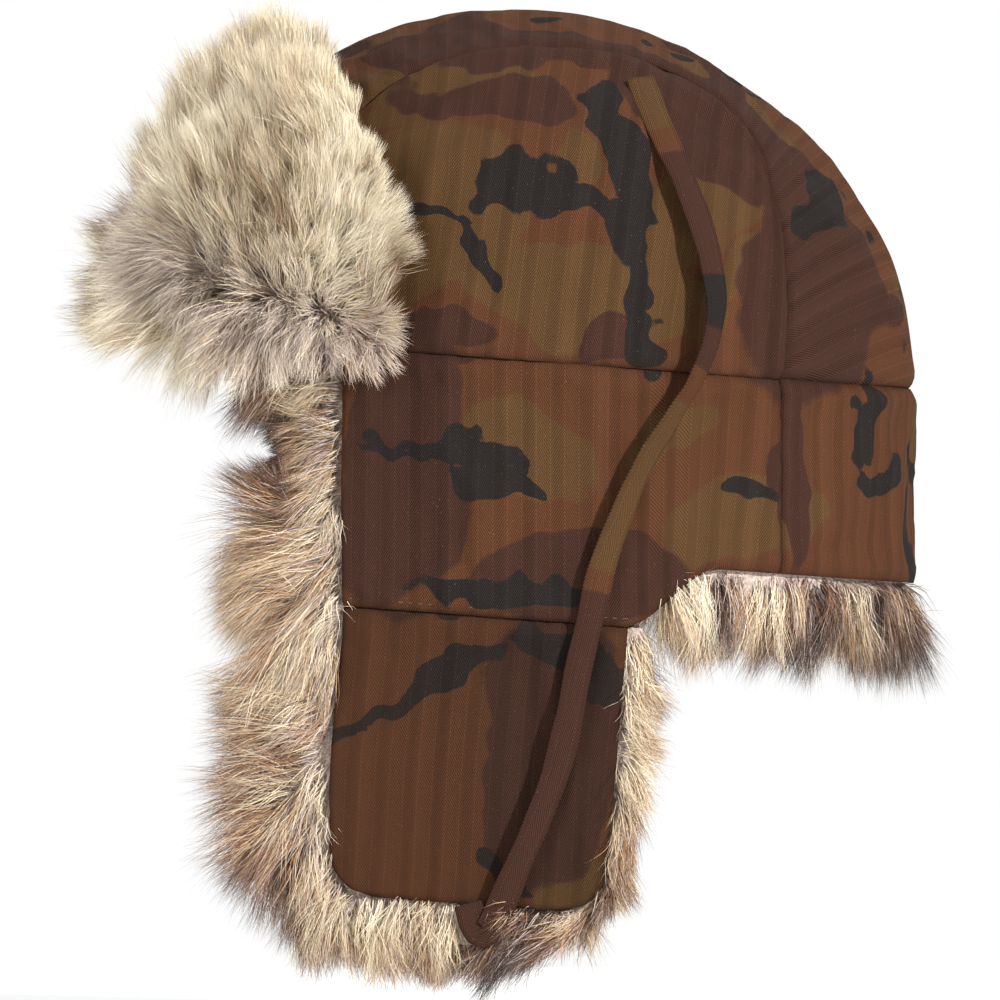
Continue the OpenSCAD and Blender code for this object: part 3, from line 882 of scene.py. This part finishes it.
def visor_cloth():
    surfaces = [visor_middle_surface(*span) for span in (
        (1, VISOR_HEIGHT), (VISOR_BEND, VISOR_HEIGHT - 3), (VISOR_BEND, VISOR_HEIGHT + 1))]
    for piece in visor_part("middle", surfaces, (NONE, NONE, SEAM, HEM), False, 71):
        visor_blend(piece)

    def sides(side, right):
        surfaces = [visor_end_surface(*span) for span in (
            (1, VISOR_HEIGHT), (3, VISOR_HEIGHT - 3, -3), (-1, VISOR_HEIGHT + 1, -7))]
        for piece in visor_part(side, surfaces, (NONE, HEM, HEM, HEM), right, 77):
            visor_end_blend(piece, side)
    both_sides(sides)


def visor_blend(piece):
    """Bakes the visor middle's place into its mesh. Where it would bend up out of the crown's front seam
    is worked out but not used.
    """
    start = place(np.array([-118.0, 0, 0]))
    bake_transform(piece)


def visor_end_blend(piece, side):
    """Bakes a visor end's place into its mesh. Where it would bend away from the middle, beside their
    common line, is worked out but not used.
    """
    start, end = (crown_point(round_head(np.float64(VISOR_MIDDLE + past), VISOR_HEIGHT / 2),
                              VISOR_CLOTH[0]) for past in (-1, 9))
    if side == "right":
        start, end = mirrored(start), mirrored(end)
    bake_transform(piece)


# ---------------------------------------------------------------- fur

SCATTER_GRID = 60        # cells each way, for spreading strands over a surface
NEAREST_AT_ONCE = 4000   # points compared with all centres in one step
STRAND_RINGS = 5
TUFT, GATHER = 75, 0.74          # strands in a tuft, and how far they lean to its tip
WISP, WISP_GATHER = 10, 0.5      # the same for the small tufts within it
VISOR_HAIR, LINING_HAIR = 0.33, 0.29     # a strand's width at its root
VISOR_MIDDLE_HAIRS, VISOR_END_HAIRS = 26000, 27500
FLAP_HAIRS, BAND_HAIRS, NECK_HAIRS = 27700, 27000, 27700


def scatter(surface, count, rng, weight=None):
    """Places on a surface, spread evenly over its area, or by weight(u, v)."""
    n = SCATTER_GRID
    u, v = np.meshgrid(np.linspace(0, 1, n + 1), np.linspace(0, 1, n + 1))
    p = surface(u, v, 0 * u)
    area = np.linalg.norm(np.cross(p[1:, :-1] - p[:-1, :-1], p[:-1, 1:] - p[:-1, :-1]), axis=-1)
    if weight is not None:
        area = area * weight(u[:-1, :-1] + 0.5 / n, v[:-1, :-1] + 0.5 / n)
    chance = (area / area.sum()).ravel()
    cell = rng.choice(n * n, count, p=chance)
    at = rng.random((count, 2))
    return (cell % n + at[:, 0]) / n, (cell // n + at[:, 1]) / n


def frame_at(surface, u, v, depth):
    """Place, outward normal, and the directions in which u and v grow."""
    d = 0 * u + depth
    e = 1e-3
    p = surface(u, v, d)
    across = unit(surface(np.minimum(u + e, 1), v, d) - surface(np.minimum(u + e, 1) - e, v, d))
    upward = unit(surface(u, np.minimum(v + e, 1), d) - surface(u, np.minimum(v + e, 1) - e, d))
    normal = unit(surface(u, v, d + 1) - p)
    return p, normal, across, upward


def nearest(points, centres):
    """The number of the nearest centre to each point."""
    found = np.empty(len(points), int)
    for i in range(0, len(points), NEAREST_AT_ONCE):
        part = points[i:i + NEAREST_AT_ONCE]
        away = (part ** 2).sum(1)[:, None] - 2 * part @ centres.T + (centres ** 2).sum(1)
        found[i:i + NEAREST_AT_ONCE] = away.argmin(1)
    return found


def tufts(path, root, count, gather, rng):
    """Every strand leans to the tip of its nearest leader."""
    leaders = rng.choice(len(root), count, replace=False)
    own = leaders[nearest(root, root[leaders])]
    pull = gather * rng.uniform(0.4, 1.0, (len(root), 1, 1))
    s = np.linspace(0, 1, STRAND_RINGS)[None, :, None]
    return path + (path[own][:, -1:] - path[:, -1:]) * pull * s ** 1.5


def strands(name, root, normal, flow, length, tone, rng, right, width, lift, droop, curl, seed,
            spread=0.42):
    """Fur: a tapering ribbon for each root, gathered in tufts, as one mesh.

    lift is the share of a strand's length that it rises, droop how far it sinks under its weight,
    curl how much it waves, and spread how untidily it lies."""
    count = len(root)
    lift = np.broadcast_to(lift, (count,))[:, None]
    s = np.linspace(0, 1, STRAND_RINGS)[None, :, None]
    turn = drift(root, 13, seed + 51, seed + 52, seed + 53)
    lay = unit(flow + 1.3 * spread * turn + spread * rng.normal(size=(count, 3)))
    rise = normal[:, None] * lift[:, None] * (1.3 * s - 0.3 * s * s)
    run = lay[:, None] * np.sqrt(np.maximum(1 - lift[:, None] ** 2, 0.04)) * (0.4 * s + 0.6 * s * s)
    fall = np.array([0, 0, -1.0]) * droop * s * s
    size = length[:, None, None]
    path = root[:, None] + size * (rise + run + fall)
    path = tufts(path, root, count // WISP, WISP_GATHER, rng)
    path = tufts(path, root, count // TUFT, GATHER, rng)
    # A slow wave along each strand
    phase = noise(root, 9, seed + 80)[:, None, None] * 3 + rng.uniform(-0.6, 0.6, (count, 1, 1))
    side = unit(np.cross(lay, normal))
    path = path + side[:, None] * curl * size * np.sin(3.4 * s + phase * 2) * s
    # Ribbons face outwards, give or take a roll
    tangent = unit(np.gradient(path, axis=1))
    roll = normal + 0.8 * rng.normal(size=(count, 3)) * 0.6
    across = unit(np.cross(tangent, roll[:, None]))
    half = (0.5 * width * rng.uniform(0.7, 1.25, (count, 1, 1))) * (1 - 0.86 * s ** 1.4)
    pair = np.stack([path - across * half, path + across * half], 2)[:, :-1]
    points = np.concatenate([pair.reshape(count, -1, 3), path[:, -1:]], 1)
    if right:
        points = mirrored(points)
    per = points.shape[1]
    start = np.arange(count)[:, None] * per
    quads = np.concatenate([start + np.array([2 * i, 2 * i + 1, 2 * i + 3, 2 * i + 2])
                            for i in range(STRAND_RINGS - 2)])
    last = start + np.array([per - 3, per - 2, per - 1])
    along = np.append(np.repeat(np.linspace(0, 1, STRAND_RINGS)[:-1], 2), 1.0)
    uv = np.stack([np.repeat(np.clip(tone, 0.01, 0.99), per), np.tile(along, count)], -1)
    uv = np.clip(uv, 0.01, 0.99)
    return write_mesh(name, points.reshape(-1, 3), [quads, last], FUR, uv, uv_name="OFBake")


def tones(root, rng, seed, bias, patches, undercoat):
    """Mostly cream, with tan and rusty streaks, some dark hairs, and a share of mauve undercoat."""
    patch = rough_noise(root * np.array([1.0, 1.0, 0.45]), 20, seed, 3)
    streak = np.maximum(noise(root * np.array([1.0, 1.0, 0.22]), 5.5, seed + 7) - 0.35, 0)
    tone = 0.20 + patches * np.clip(patch, -0.5, 1) + 0.75 * streak
    tone = tone + 0.11 * rng.normal(size=len(root)) + bias
    dark = rng.random(len(root)) < 0.06
    tone = np.clip(np.where(dark, tone + 0.4, tone), 0.0, 0.84)
    mauve = rng.random(len(root)) < undercoat
    return np.where(mauve, rng.uniform(0.90, 0.98, len(root)), tone)


def visor_flow(p, across, upward, end):
    """Hair runs up above the crease and down below it; end is 0 in front and 1 at the free end."""
    z = p[:, 2] - SEAM_RISE + SEAM_TILT * p[:, 0]
    crease = mix(40.0, 2.0, end) + 6 * noise(p, 30, 5)
    up = ramp((z - crease) / 14 + 0.5)[:, None]
    fan = end[:, None]
    top = ramp((z - 50) / 30)[:, None]
    fanned = 0.1 + mix(1.0, 0.35, ramp((z - 25) / 25))[:, None] * fan ** 2
    rising = mix(upward + across * fanned, np.array([-0.15, 0, 1.0]), 0.75 * top)
    down = -0.05 + 1.05 * ramp((p[:, 0] + 122) / 14)
    falling = -upward * down[:, None] + across * (1.3 * fan - 0.5)
    return mix(unit(falling), unit(rising), up), z - crease, top[:, 0]


def visor_coat(part, surface, u, v, end, rng, right, seed, past_end):
    """The fur of the visor's middle (end: which way each hair's free end is) or one end (None).

    past_end grows from 0 to 1 towards the free edge, where the hair is shorter and lies lower."""
    p, normal, across, upward = frame_at(surface, u, v, VISOR_GROUND[0] - 0.5)
    out = across if end is None else across * end
    share = np.abs(2 * u - 1) * 0.4 if end is not None else 0.4 + 0.6 * u
    flow, past, top = visor_flow(p, out, upward, share)
    length = rng.uniform(22, 33, len(u)) * mix(0.74, 1.0, ramp(np.abs(past) / 15))
    length = length * (1 - 0.12 * np.exp(-((p[:, 2] - 74) / 16) ** 2))
    length = length * mix(1.0, mix(0.72, 0.22, share), ramp((p[:, 2] - 76) / 20))
    length = length * mix(1.0, mix(0.95, 0.55, ramp((p[:, 2] - 25) / 30)), past_end)
    low = ramp((24 - p[:, 2]) / 18) * ramp((p[:, 0] + 114) / 9) * ramp((-72 - p[:, 0]) / 16)
    foot = ramp((16 - p[:, 2]) / 10) * ramp((p[:, 0] + 74) / 12)
    length = length * (1 + 0.20 * low) * (1 - 0.22 * foot)
    lift = mix(mix(0.76, 0.58, top), 0.50, past_end) * mix(1.0, 0.66, low)
    undercoat = 0.06 + 0.66 * np.exp(-((past + 7) / 10) ** 2)
    tone = tones(p, rng, seed, -0.16, 0.26, undercoat)
    piece = strands("visor_%s_fur" % part, p, normal, flow, length, tone, rng, right, VISOR_HAIR, lift,
                    droop=0.05, curl=0.11, seed=seed)
    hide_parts("visor_fur_" + part)
    return piece


def visor_fur():
    rng = np.random.default_rng(21)
    surface = visor_middle_surface(0, VISOR_HEIGHT + 1)
    u, v = scatter(surface, VISOR_MIDDLE_HAIRS, rng)
    piece = visor_coat("middle", surface, u, v, np.sign(u - 0.5)[:, None], rng, False, 4, 0 * u)
    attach(piece, "visor_middle")

    def sides(side, right):
        rng = np.random.default_rng(23 + right)
        surface = visor_end_surface(-1, VISOR_HEIGHT + 1, -2)
        u, v = scatter(surface, VISOR_END_HAIRS, rng, lambda u, v: 1 + 0.8 * ramp((u - 0.7) / 0.3))
        piece = visor_coat(side, surface, u, v, None, rng, right, 6, ramp((u - 0.7) / 0.3))
        visor_end_blend(piece, side)
    both_sides(sides)


def edge_gaps(surface, u, v):
    """How far places on a sheet lie from its u=0, u=1 and v=0 edges."""
    n = 40
    gu, gv = np.meshgrid(np.linspace(0, 1, n), np.linspace(0, 1, n))
    grid = surface(gu, gv, 0 * gu)
    widths = np.interp(v, gv[:, 0], arc_lengths(grid, 1)[:, -1])
    heights = np.interp(u, gu[0], arc_lengths(grid, 0)[-1])
    return [u * widths, (1 - u) * widths, v * heights]


# How far the hair stands in front of the cloth's front edge, by height
FRONT_REACH = np.array([[-180, 20], [-171, 23], [-144, 37], [-125, 31], [-102, 36], [-93, 32], [-74, 46],
                        [-52, 44], [-42, 28], [-34, 12], [-24, 8], [-10, 26], [0, 34]], float)
# Which way the hair flows at the u=0, u=1 and v=0 edges: outwards, and along the edge
EDGE_LAYS = ((0.75, -0.95), (0.6, -0.8), (0.95, -0.35))


# How deep the lining's hair is rooted, and how far inwards from an edge it lies as at the edge
LINING_ROOT, EDGE_REACH = -5.0, 14.0


def lining_fur(name, node, surface, count, rng, margins, lengths, bias, seed, right=False,
               drop=0.6, edge_share=5.0, sway=-0.25, edge_lift=0.42, spread=0.42):
    """Fur on the inner face of a panel, and on both faces of its soft edge past the cloth.

    margins say how far the sheet stands past the cloth at the u=0, u=1 and v=0 edges (None: sewn in
    there), and lengths how long the hair is there. bias is how much darker it is; drop and sway are
    which way it lies within the panel, and edge_share how much denser it is at the soft edge."""
    def nearness(gaps, reach=EDGE_REACH):
        return [np.exp(-(gap / reach) ** 2) * (margin is not None) for gap, margin in zip(gaps, margins)]

    def weight(u, v):
        near = sum(nearness(edge_gaps(surface, u.ravel(), v.ravel())))
        return 1 + edge_share * np.clip(near, 0, 1).reshape(u.shape)
    u, v = scatter(surface, count, rng, weight)
    p, normal, across, upward = frame_at(surface, u, v, LINING_ROOT)
    gaps = edge_gaps(surface, u, v)
    near = nearness(gaps)
    total = np.clip(sum(near), 0, 1)
    swirl = 1.5 * noise(p, 26, seed + 12) + 0.8 * noise(p, 11, seed + 13)
    outs = [-across, across, -upward]
    alongs = [upward, upward, across]
    flow = (-upward * drop + across * sway) * (1 - total)[:, None] + 0.5 * swirl[:, None] * upward
    for share, out, run, (outwards, onwards) in zip(near, outs, alongs, EDGE_LAYS):
        flow = flow + share[:, None] * (out * outwards + run * (onwards + 0.45 * swirl)[:, None])
    base = rng.uniform(17, 25, count)
    wanted = sum(n * l for n, l in zip(near, lengths)) / np.maximum(sum(near), 1e-6)
    front = near[0] / np.maximum(sum(near), 1e-6)
    wave = 1 + 0.20 * noise(p, 27, seed + 22) + 0.14 * noise(p, 9, seed + 23)
    if margins[0] is not None:
        wave = wave * mix(1, np.interp(p[:, 2], *FRONT_REACH.T) / 40, front)
    wave = wave * (1 + 0.35 * near[1] * near[2])
    length = mix(base, wanted * rng.uniform(0.70, 1.08, count) * wave, total)
    # Only the soft edge past the cloth has hair on its outer face too
    bare = np.zeros(count, bool)
    for gap, margin in zip(gaps, margins):
        if margin is not None:
            bare |= gap < margin
    facing = np.where(bare & (rng.random(count) < 0.65), 1.0, -1.0)
    lift = mix(0.8, edge_lift, total) * rng.uniform(0.4, 1.15, count)
    # A few hairs stray back over the cloth
    stray = np.zeros(count, bool)
    for gap, margin, out, run in zip(gaps, margins, outs, alongs):
        if margin is not None:
            here = (gap > margin - 2.5) & (gap < margin + 1) & bare & (rng.random(count) < 0.05)
            flow = np.where(here[:, None], -out - run * rng.uniform(-0.6, 1.2, count)[:, None], flow)
            stray |= here
    facing = np.where(stray, 1.0, facing)
    lift = np.where(stray, 0.62, lift)
    length = np.where(stray, np.minimum(length, rng.uniform(12, 26, count)), length)
    # The tie lies over the hair where it is sewn into the hem
    at_tie = np.hypot(p[:, 0] - TIE_ROUTE[-2, 0], p[:, 2] - TIE_ROUTE[-2, 2]) < 8
    facing = np.where(at_tie, -1.0, facing)
    p = p + normal * (facing * 1.5)[:, None]
    # The hair is palest beside the cloth and darkest along the outer fringe
    fringe = np.clip(sum(nearness(gaps, 6)), 0, 1)
    tone = tones(p, rng, seed, bias + 0.26 * fringe + 0.14 * near[2], 0.52, 0.16 + 0.25 * (total < 0.5))
    length = np.where(tone > 0.88, 0.7, 1.0) * length
    piece = strands(name, p, normal * facing[:, None], unit(flow), length, tone, rng, right, LINING_HAIR,
                    np.clip(lift, 0, 0.95), droop=0.10, curl=0.13, seed=seed, spread=spread)
    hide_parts(node)
    return piece


# How far the furs' soft edges stand past the cloth, before the hair itself
EDGE_FORWARD, EDGE_BELOW, EDGE_BEHIND = 19.0, 13.0, 5.0
EDGE_BODY = (-3.2, -7.0)


def lining_furs():
    def sides(side, right):
        rng = np.random.default_rng(31 + right)
        flap = "ear_flap_" + side
        surface = flap_surface(EDGE_FORWARD, EDGE_BEHIND, EDGE_BELOW, 34)
        fur = lining_fur(flap + "_fur_pile", "ear_flap_fur_" + side, surface, FLAP_HAIRS, rng,
                         (EDGE_FORWARD, EDGE_BEHIND, EDGE_BELOW), (42, 21, 24), 0.14, 8, right)
        for piece in (fur, pile_ground(flap + "_pile_ground", surface, EDGE_BODY, right)):
            fold_blend(piece)
        surface = band_surface(BAND_FRONT - EDGE_FORWARD, 40, -3)
        fur = lining_fur("band_fur_pile_" + side, "band_fur_" + side, surface, BAND_HAIRS, rng,
                         (EDGE_FORWARD, None, None), (42, 17, 20), 0.16, 12, right, edge_share=7.0)
        for piece in (fur, pile_ground("band_pile_ground_" + side, surface, EDGE_BODY, right)):
            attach(piece, "root")
    both_sides(sides)
    rng = np.random.default_rng(41)
    surface = ring_surface((NECK_FUR_ANGLE, 360 - NECK_FUR_ANGLE), (-NECK_DEPTH - EDGE_BELOW, -6))
    fur = lining_fur("neck_fur_pile", "neck_fur", surface, NECK_HAIRS, rng, (None, None, EDGE_BELOW),
                     (20, 20, 26), -0.12, 15, drop=1.0, sway=0.0, edge_share=7.0, edge_lift=0.12,
                     spread=0.34)
    for piece in (fur, pile_ground("neck_pile_ground", surface, EDGE_BODY)):
        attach(piece, "root")


# ---------------------------------------------------------------- ties and stitching

def smooth_route(points, count):
    """A smooth curve through the points, evenly spaced."""
    ends = np.concatenate([[2 * points[0] - points[1]], points, [2 * points[-1] - points[-2]]])
    t = np.linspace(0, 1, 12, endpoint=False)[:, None]
    parts = []
    for i in range(len(points) - 1):
        a, b, c, d = ends[i:i + 4]
        parts.append(0.5 * (2 * b + (c - a) * t + (2 * a - 5 * b + 4 * c - d) * t ** 2
                            + (3 * b - a - 3 * c + d) * t ** 3))
    return along_line(np.concatenate([*parts, points[-1:]]), np.linspace(0, 1, count))


TIE_RINGS, TIE_SIDES = 190, 20
TIE_HEM, TIE_END_FOLD = 2.9, 9           # its stitches from the middle, and its turned-back end
# Each colour's stretches, in millimetres from the end on the crown
TIE_PRINT = {"olive": ((-9, 22), (120, 182)), "plum": ((30, 112), (190, 340)), "coal": ((76, 96),)}


def tie(side, right):
    """A flat strip of the hat's cloth, from the crown to the ear flap's hem."""
    count, sides = TIE_RINGS, TIE_SIDES
    route = smooth_route(TIE_ROUTE, count)
    faces = unit(smooth_route(TIE_FACES, count))
    tangent = unit(np.gradient(route, axis=0))
    across = unit(np.cross(tangent, faces))
    up = np.cross(across, tangent)
    a = np.linspace(0, 2 * math.pi, sides, endpoint=False) + 0.08
    x = np.sign(np.cos(a)) * np.abs(np.cos(a)) ** 0.75
    y = np.sign(np.sin(a)) * np.abs(np.sin(a)) ** 0.55
    length = np.linalg.norm(np.diff(route, axis=0), axis=1).sum()
    at = np.linspace(0, length, count)[:, None]
    wide = TIE_WIDTH / 2 * (1 + 0.04 * np.sin(at / 9) + 0.03 * np.sin(at / 4.1))
    # The strip is folded over and stitched near one edge, and turned back at its end
    stitch_line = -0.28 * np.exp(-((x * TIE_WIDTH / 2 - TIE_HEM) / 0.5) ** 2) * np.sign(y)
    fold = 0.35 * ramp((TIE_END_FOLD - at) / 1.5)
    thick = TIE_THICK / 2 * y + stitch_line + fold * np.sign(y) + 0.12 * np.sin(at / 2.4 + 3 * x)
    ring = (route[:, None] + across[:, None] * (wide * x)[..., None] + up[:, None] * thick[..., None])
    points = ring.reshape(-1, 3)
    i = np.arange(count * sides).reshape(count, sides)
    j = np.roll(i, -1, 1)
    skin = np.stack([i[:-1], j[:-1], j[1:], i[1:]], -1).reshape(-1, 4)
    caps = [i[0][None, ::-1], i[-1][None, :]]
    uv = np.stack([np.tile(x * TIE_WIDTH / 2 + 2.5, (count, 1)), np.tile(at, (1, sides))], -1)
    ragged = noise(np.concatenate([at, 0 * at], 1), 5, 9) * 4
    edge = at[:, 0] + ragged
    values = {key: np.repeat(np.max([np.minimum(edge - a, b - edge) for a, b in spans], 0) / 20, sides)
              for key, spans in TIE_PRINT.items()}
    values["worn"] = np.tile(np.clip(np.abs(x) ** 8, 0, 1) * 0.4, count)
    if right:
        points = mirrored(points)
        route = mirrored(route)
        skin = skin[:, ::-1]
        caps = [c[:, ::-1] for c in caps]
    piece = write_mesh("tie_cloth_" + side, points, [skin, *caps], CAMOUFLAGE, uv.reshape(-1, 2),
                       values=values)
    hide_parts("tie_upper_" + side, "tie_lower_" + side)
    fold_blend(piece)
    route = route[::-1]


# A stitch's length, the space to the next one, its thickness, and how far it sinks in
STITCH, STITCH_SPACE, STITCH_THICK, STITCH_SINK = 2.3, 0.9, 0.42, 0.05
STITCH_RINGS, STITCH_SIDES = 6, 6


def stitches(name, line, normal):
    """A row of thread stitches along a line, as one mesh."""
    rings, sides = STITCH_RINGS, STITCH_SIDES
    length = np.linalg.norm(np.diff(line, axis=0), axis=1).sum()
    count = int(length / (STITCH + STITCH_SPACE))
    middles = (np.arange(count) + 0.5) / count
    at = along_line(line, middles)
    up = unit(along_line(normal, middles))
    along = unit(along_line(line, np.minimum(middles + 0.004, 1)) - along_line(line, middles - 0.004))
    across = np.cross(up, along)
    t = np.linspace(-1, 1, rings)
    r = np.sqrt(np.clip(1 - np.abs(t) ** 3.2, 0.03, 1)) * STITCH_THICK / 2
    a = np.linspace(0, 2 * math.pi, sides, endpoint=False)
    rise = r[:, None] * np.sin(a) - STITCH_SINK - 0.35 * np.abs(t)[:, None] ** 4
    points = (at[:, None, None] + along[:, None, None] * (t * STITCH / 2)[None, :, None, None]
              + across[:, None, None] * (r[:, None] * np.cos(a))[None, ..., None]
              + up[:, None, None] * rise[None, ..., None])
    i = np.arange(rings * sides).reshape(rings, sides)
    j = np.roll(i, -1, 1)
    skin = np.stack([i[:-1], i[1:], j[1:], j[:-1]], -1).reshape(-1, 4)
    starts = (np.arange(count) * rings * sides)[:, None, None]
    caps = np.stack([i[0][::-1], i[-1]])
    faces = [(skin[None] + starts).reshape(-1, 4)[:, ::-1], (caps[None] + starts).reshape(-1, sides)]
    return write_mesh(name, points.reshape(-1, 3), faces, THREAD)


def stitching():
    """The topstitched fold line over each ear flap."""
    u = np.linspace(0.01, 0.99, 120) * 0.66
    line, above = (BAND(u, 0 * u + 0.030, 0 * u + depth) for depth in (0.35, 1.35))

    def sides(side, right):
        ends = (mirrored(line), mirrored(above)) if right else (line, above)
        row = stitches("fold_topstitch_" + side, ends[0], unit(ends[1] - ends[0]))
        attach(row, "root")
    both_sides(sides)


# ---------------------------------------------------------------- studio

FLOOR_GAP, FLOOR_HALF, FLOOR_COLOUR = 0.016, 0.9, (0.95, 0.95, 0.94, 1)
ROOM_COLOUR, ROOM_LIGHT = (0.95, 0.97, 1.0, 1), 0.42
LIGHTS_AIM = (0, 0, -0.03)
# Each soft light's name, place, size in metres and power in watts
LIGHTS = (("key", (1.45, -1.75, 0.85), 0.12, 84), ("fill", (-1.6, -1.5, 0.5), 1.2, 26),
          ("top", (0.1, 0.2, 1.8), 1.2, 10), ("behind", (0.3, 1.2, 1.6), 1.0, 16))


def studio():
    floor = Shader("studio_floor", 0.9)
    floor.inputs["Base Color"].default_value = FLOOR_COLOUR
    low, half = cad_bounds[0][2] - FLOOR_GAP, FLOOR_HALF
    mesh = bpy.data.meshes.new("floor")
    mesh.from_pydata([(-half, -half, low), (half, -half, low), (half, half, low), (-half, half, low)], [],
                     [(0, 1, 2, 3)])
    mesh.materials.append(floor.material)
    backdrop = bpy.data.objects.new("floor", mesh)
    bpy.context.scene.collection.objects.link(backdrop)

    world = bpy.data.worlds.new("studio")
    world.use_nodes = True
    tree = world.node_tree
    dim = tree.nodes["Background"]
    dim.inputs[0].default_value = ROOM_COLOUR
    dim.inputs[1].default_value = ROOM_LIGHT
    # The camera sees a white room; its light on the hat is softer than that
    white = tree.nodes.new("ShaderNodeBackground")
    white.inputs[0].default_value = (1, 1, 1, 1)
    rays = tree.nodes.new("ShaderNodeLightPath")
    either = tree.nodes.new("ShaderNodeMixShader")
    tree.links.new(rays.outputs["Is Camera Ray"], either.inputs[0])
    tree.links.new(dim.outputs[0], either.inputs[1])
    tree.links.new(white.outputs[0], either.inputs[2])
    tree.links.new(either.outputs[0], tree.nodes["World Output"].inputs[0])
    bpy.context.scene.world = world
    for name, place_at, size, power in LIGHTS:
        data = bpy.data.lights.new(name, "AREA")
        data.size = size
        data.energy = power
        light = bpy.data.objects.new(name, data)
        light.location = place_at
        towards = Vector(LIGHTS_AIM) - Vector(place_at)
        light.rotation_euler = towards.to_track_quat("-Z", "Y").to_euler()
        bpy.context.scene.collection.objects.link(light)
    bpy.context.scene.view_settings.view_transform = "Standard"


both_sides(tie)
crown()
band()
ear_flaps()
visor_cloth()
stitching()
visor_fur()
lining_furs()
studio()
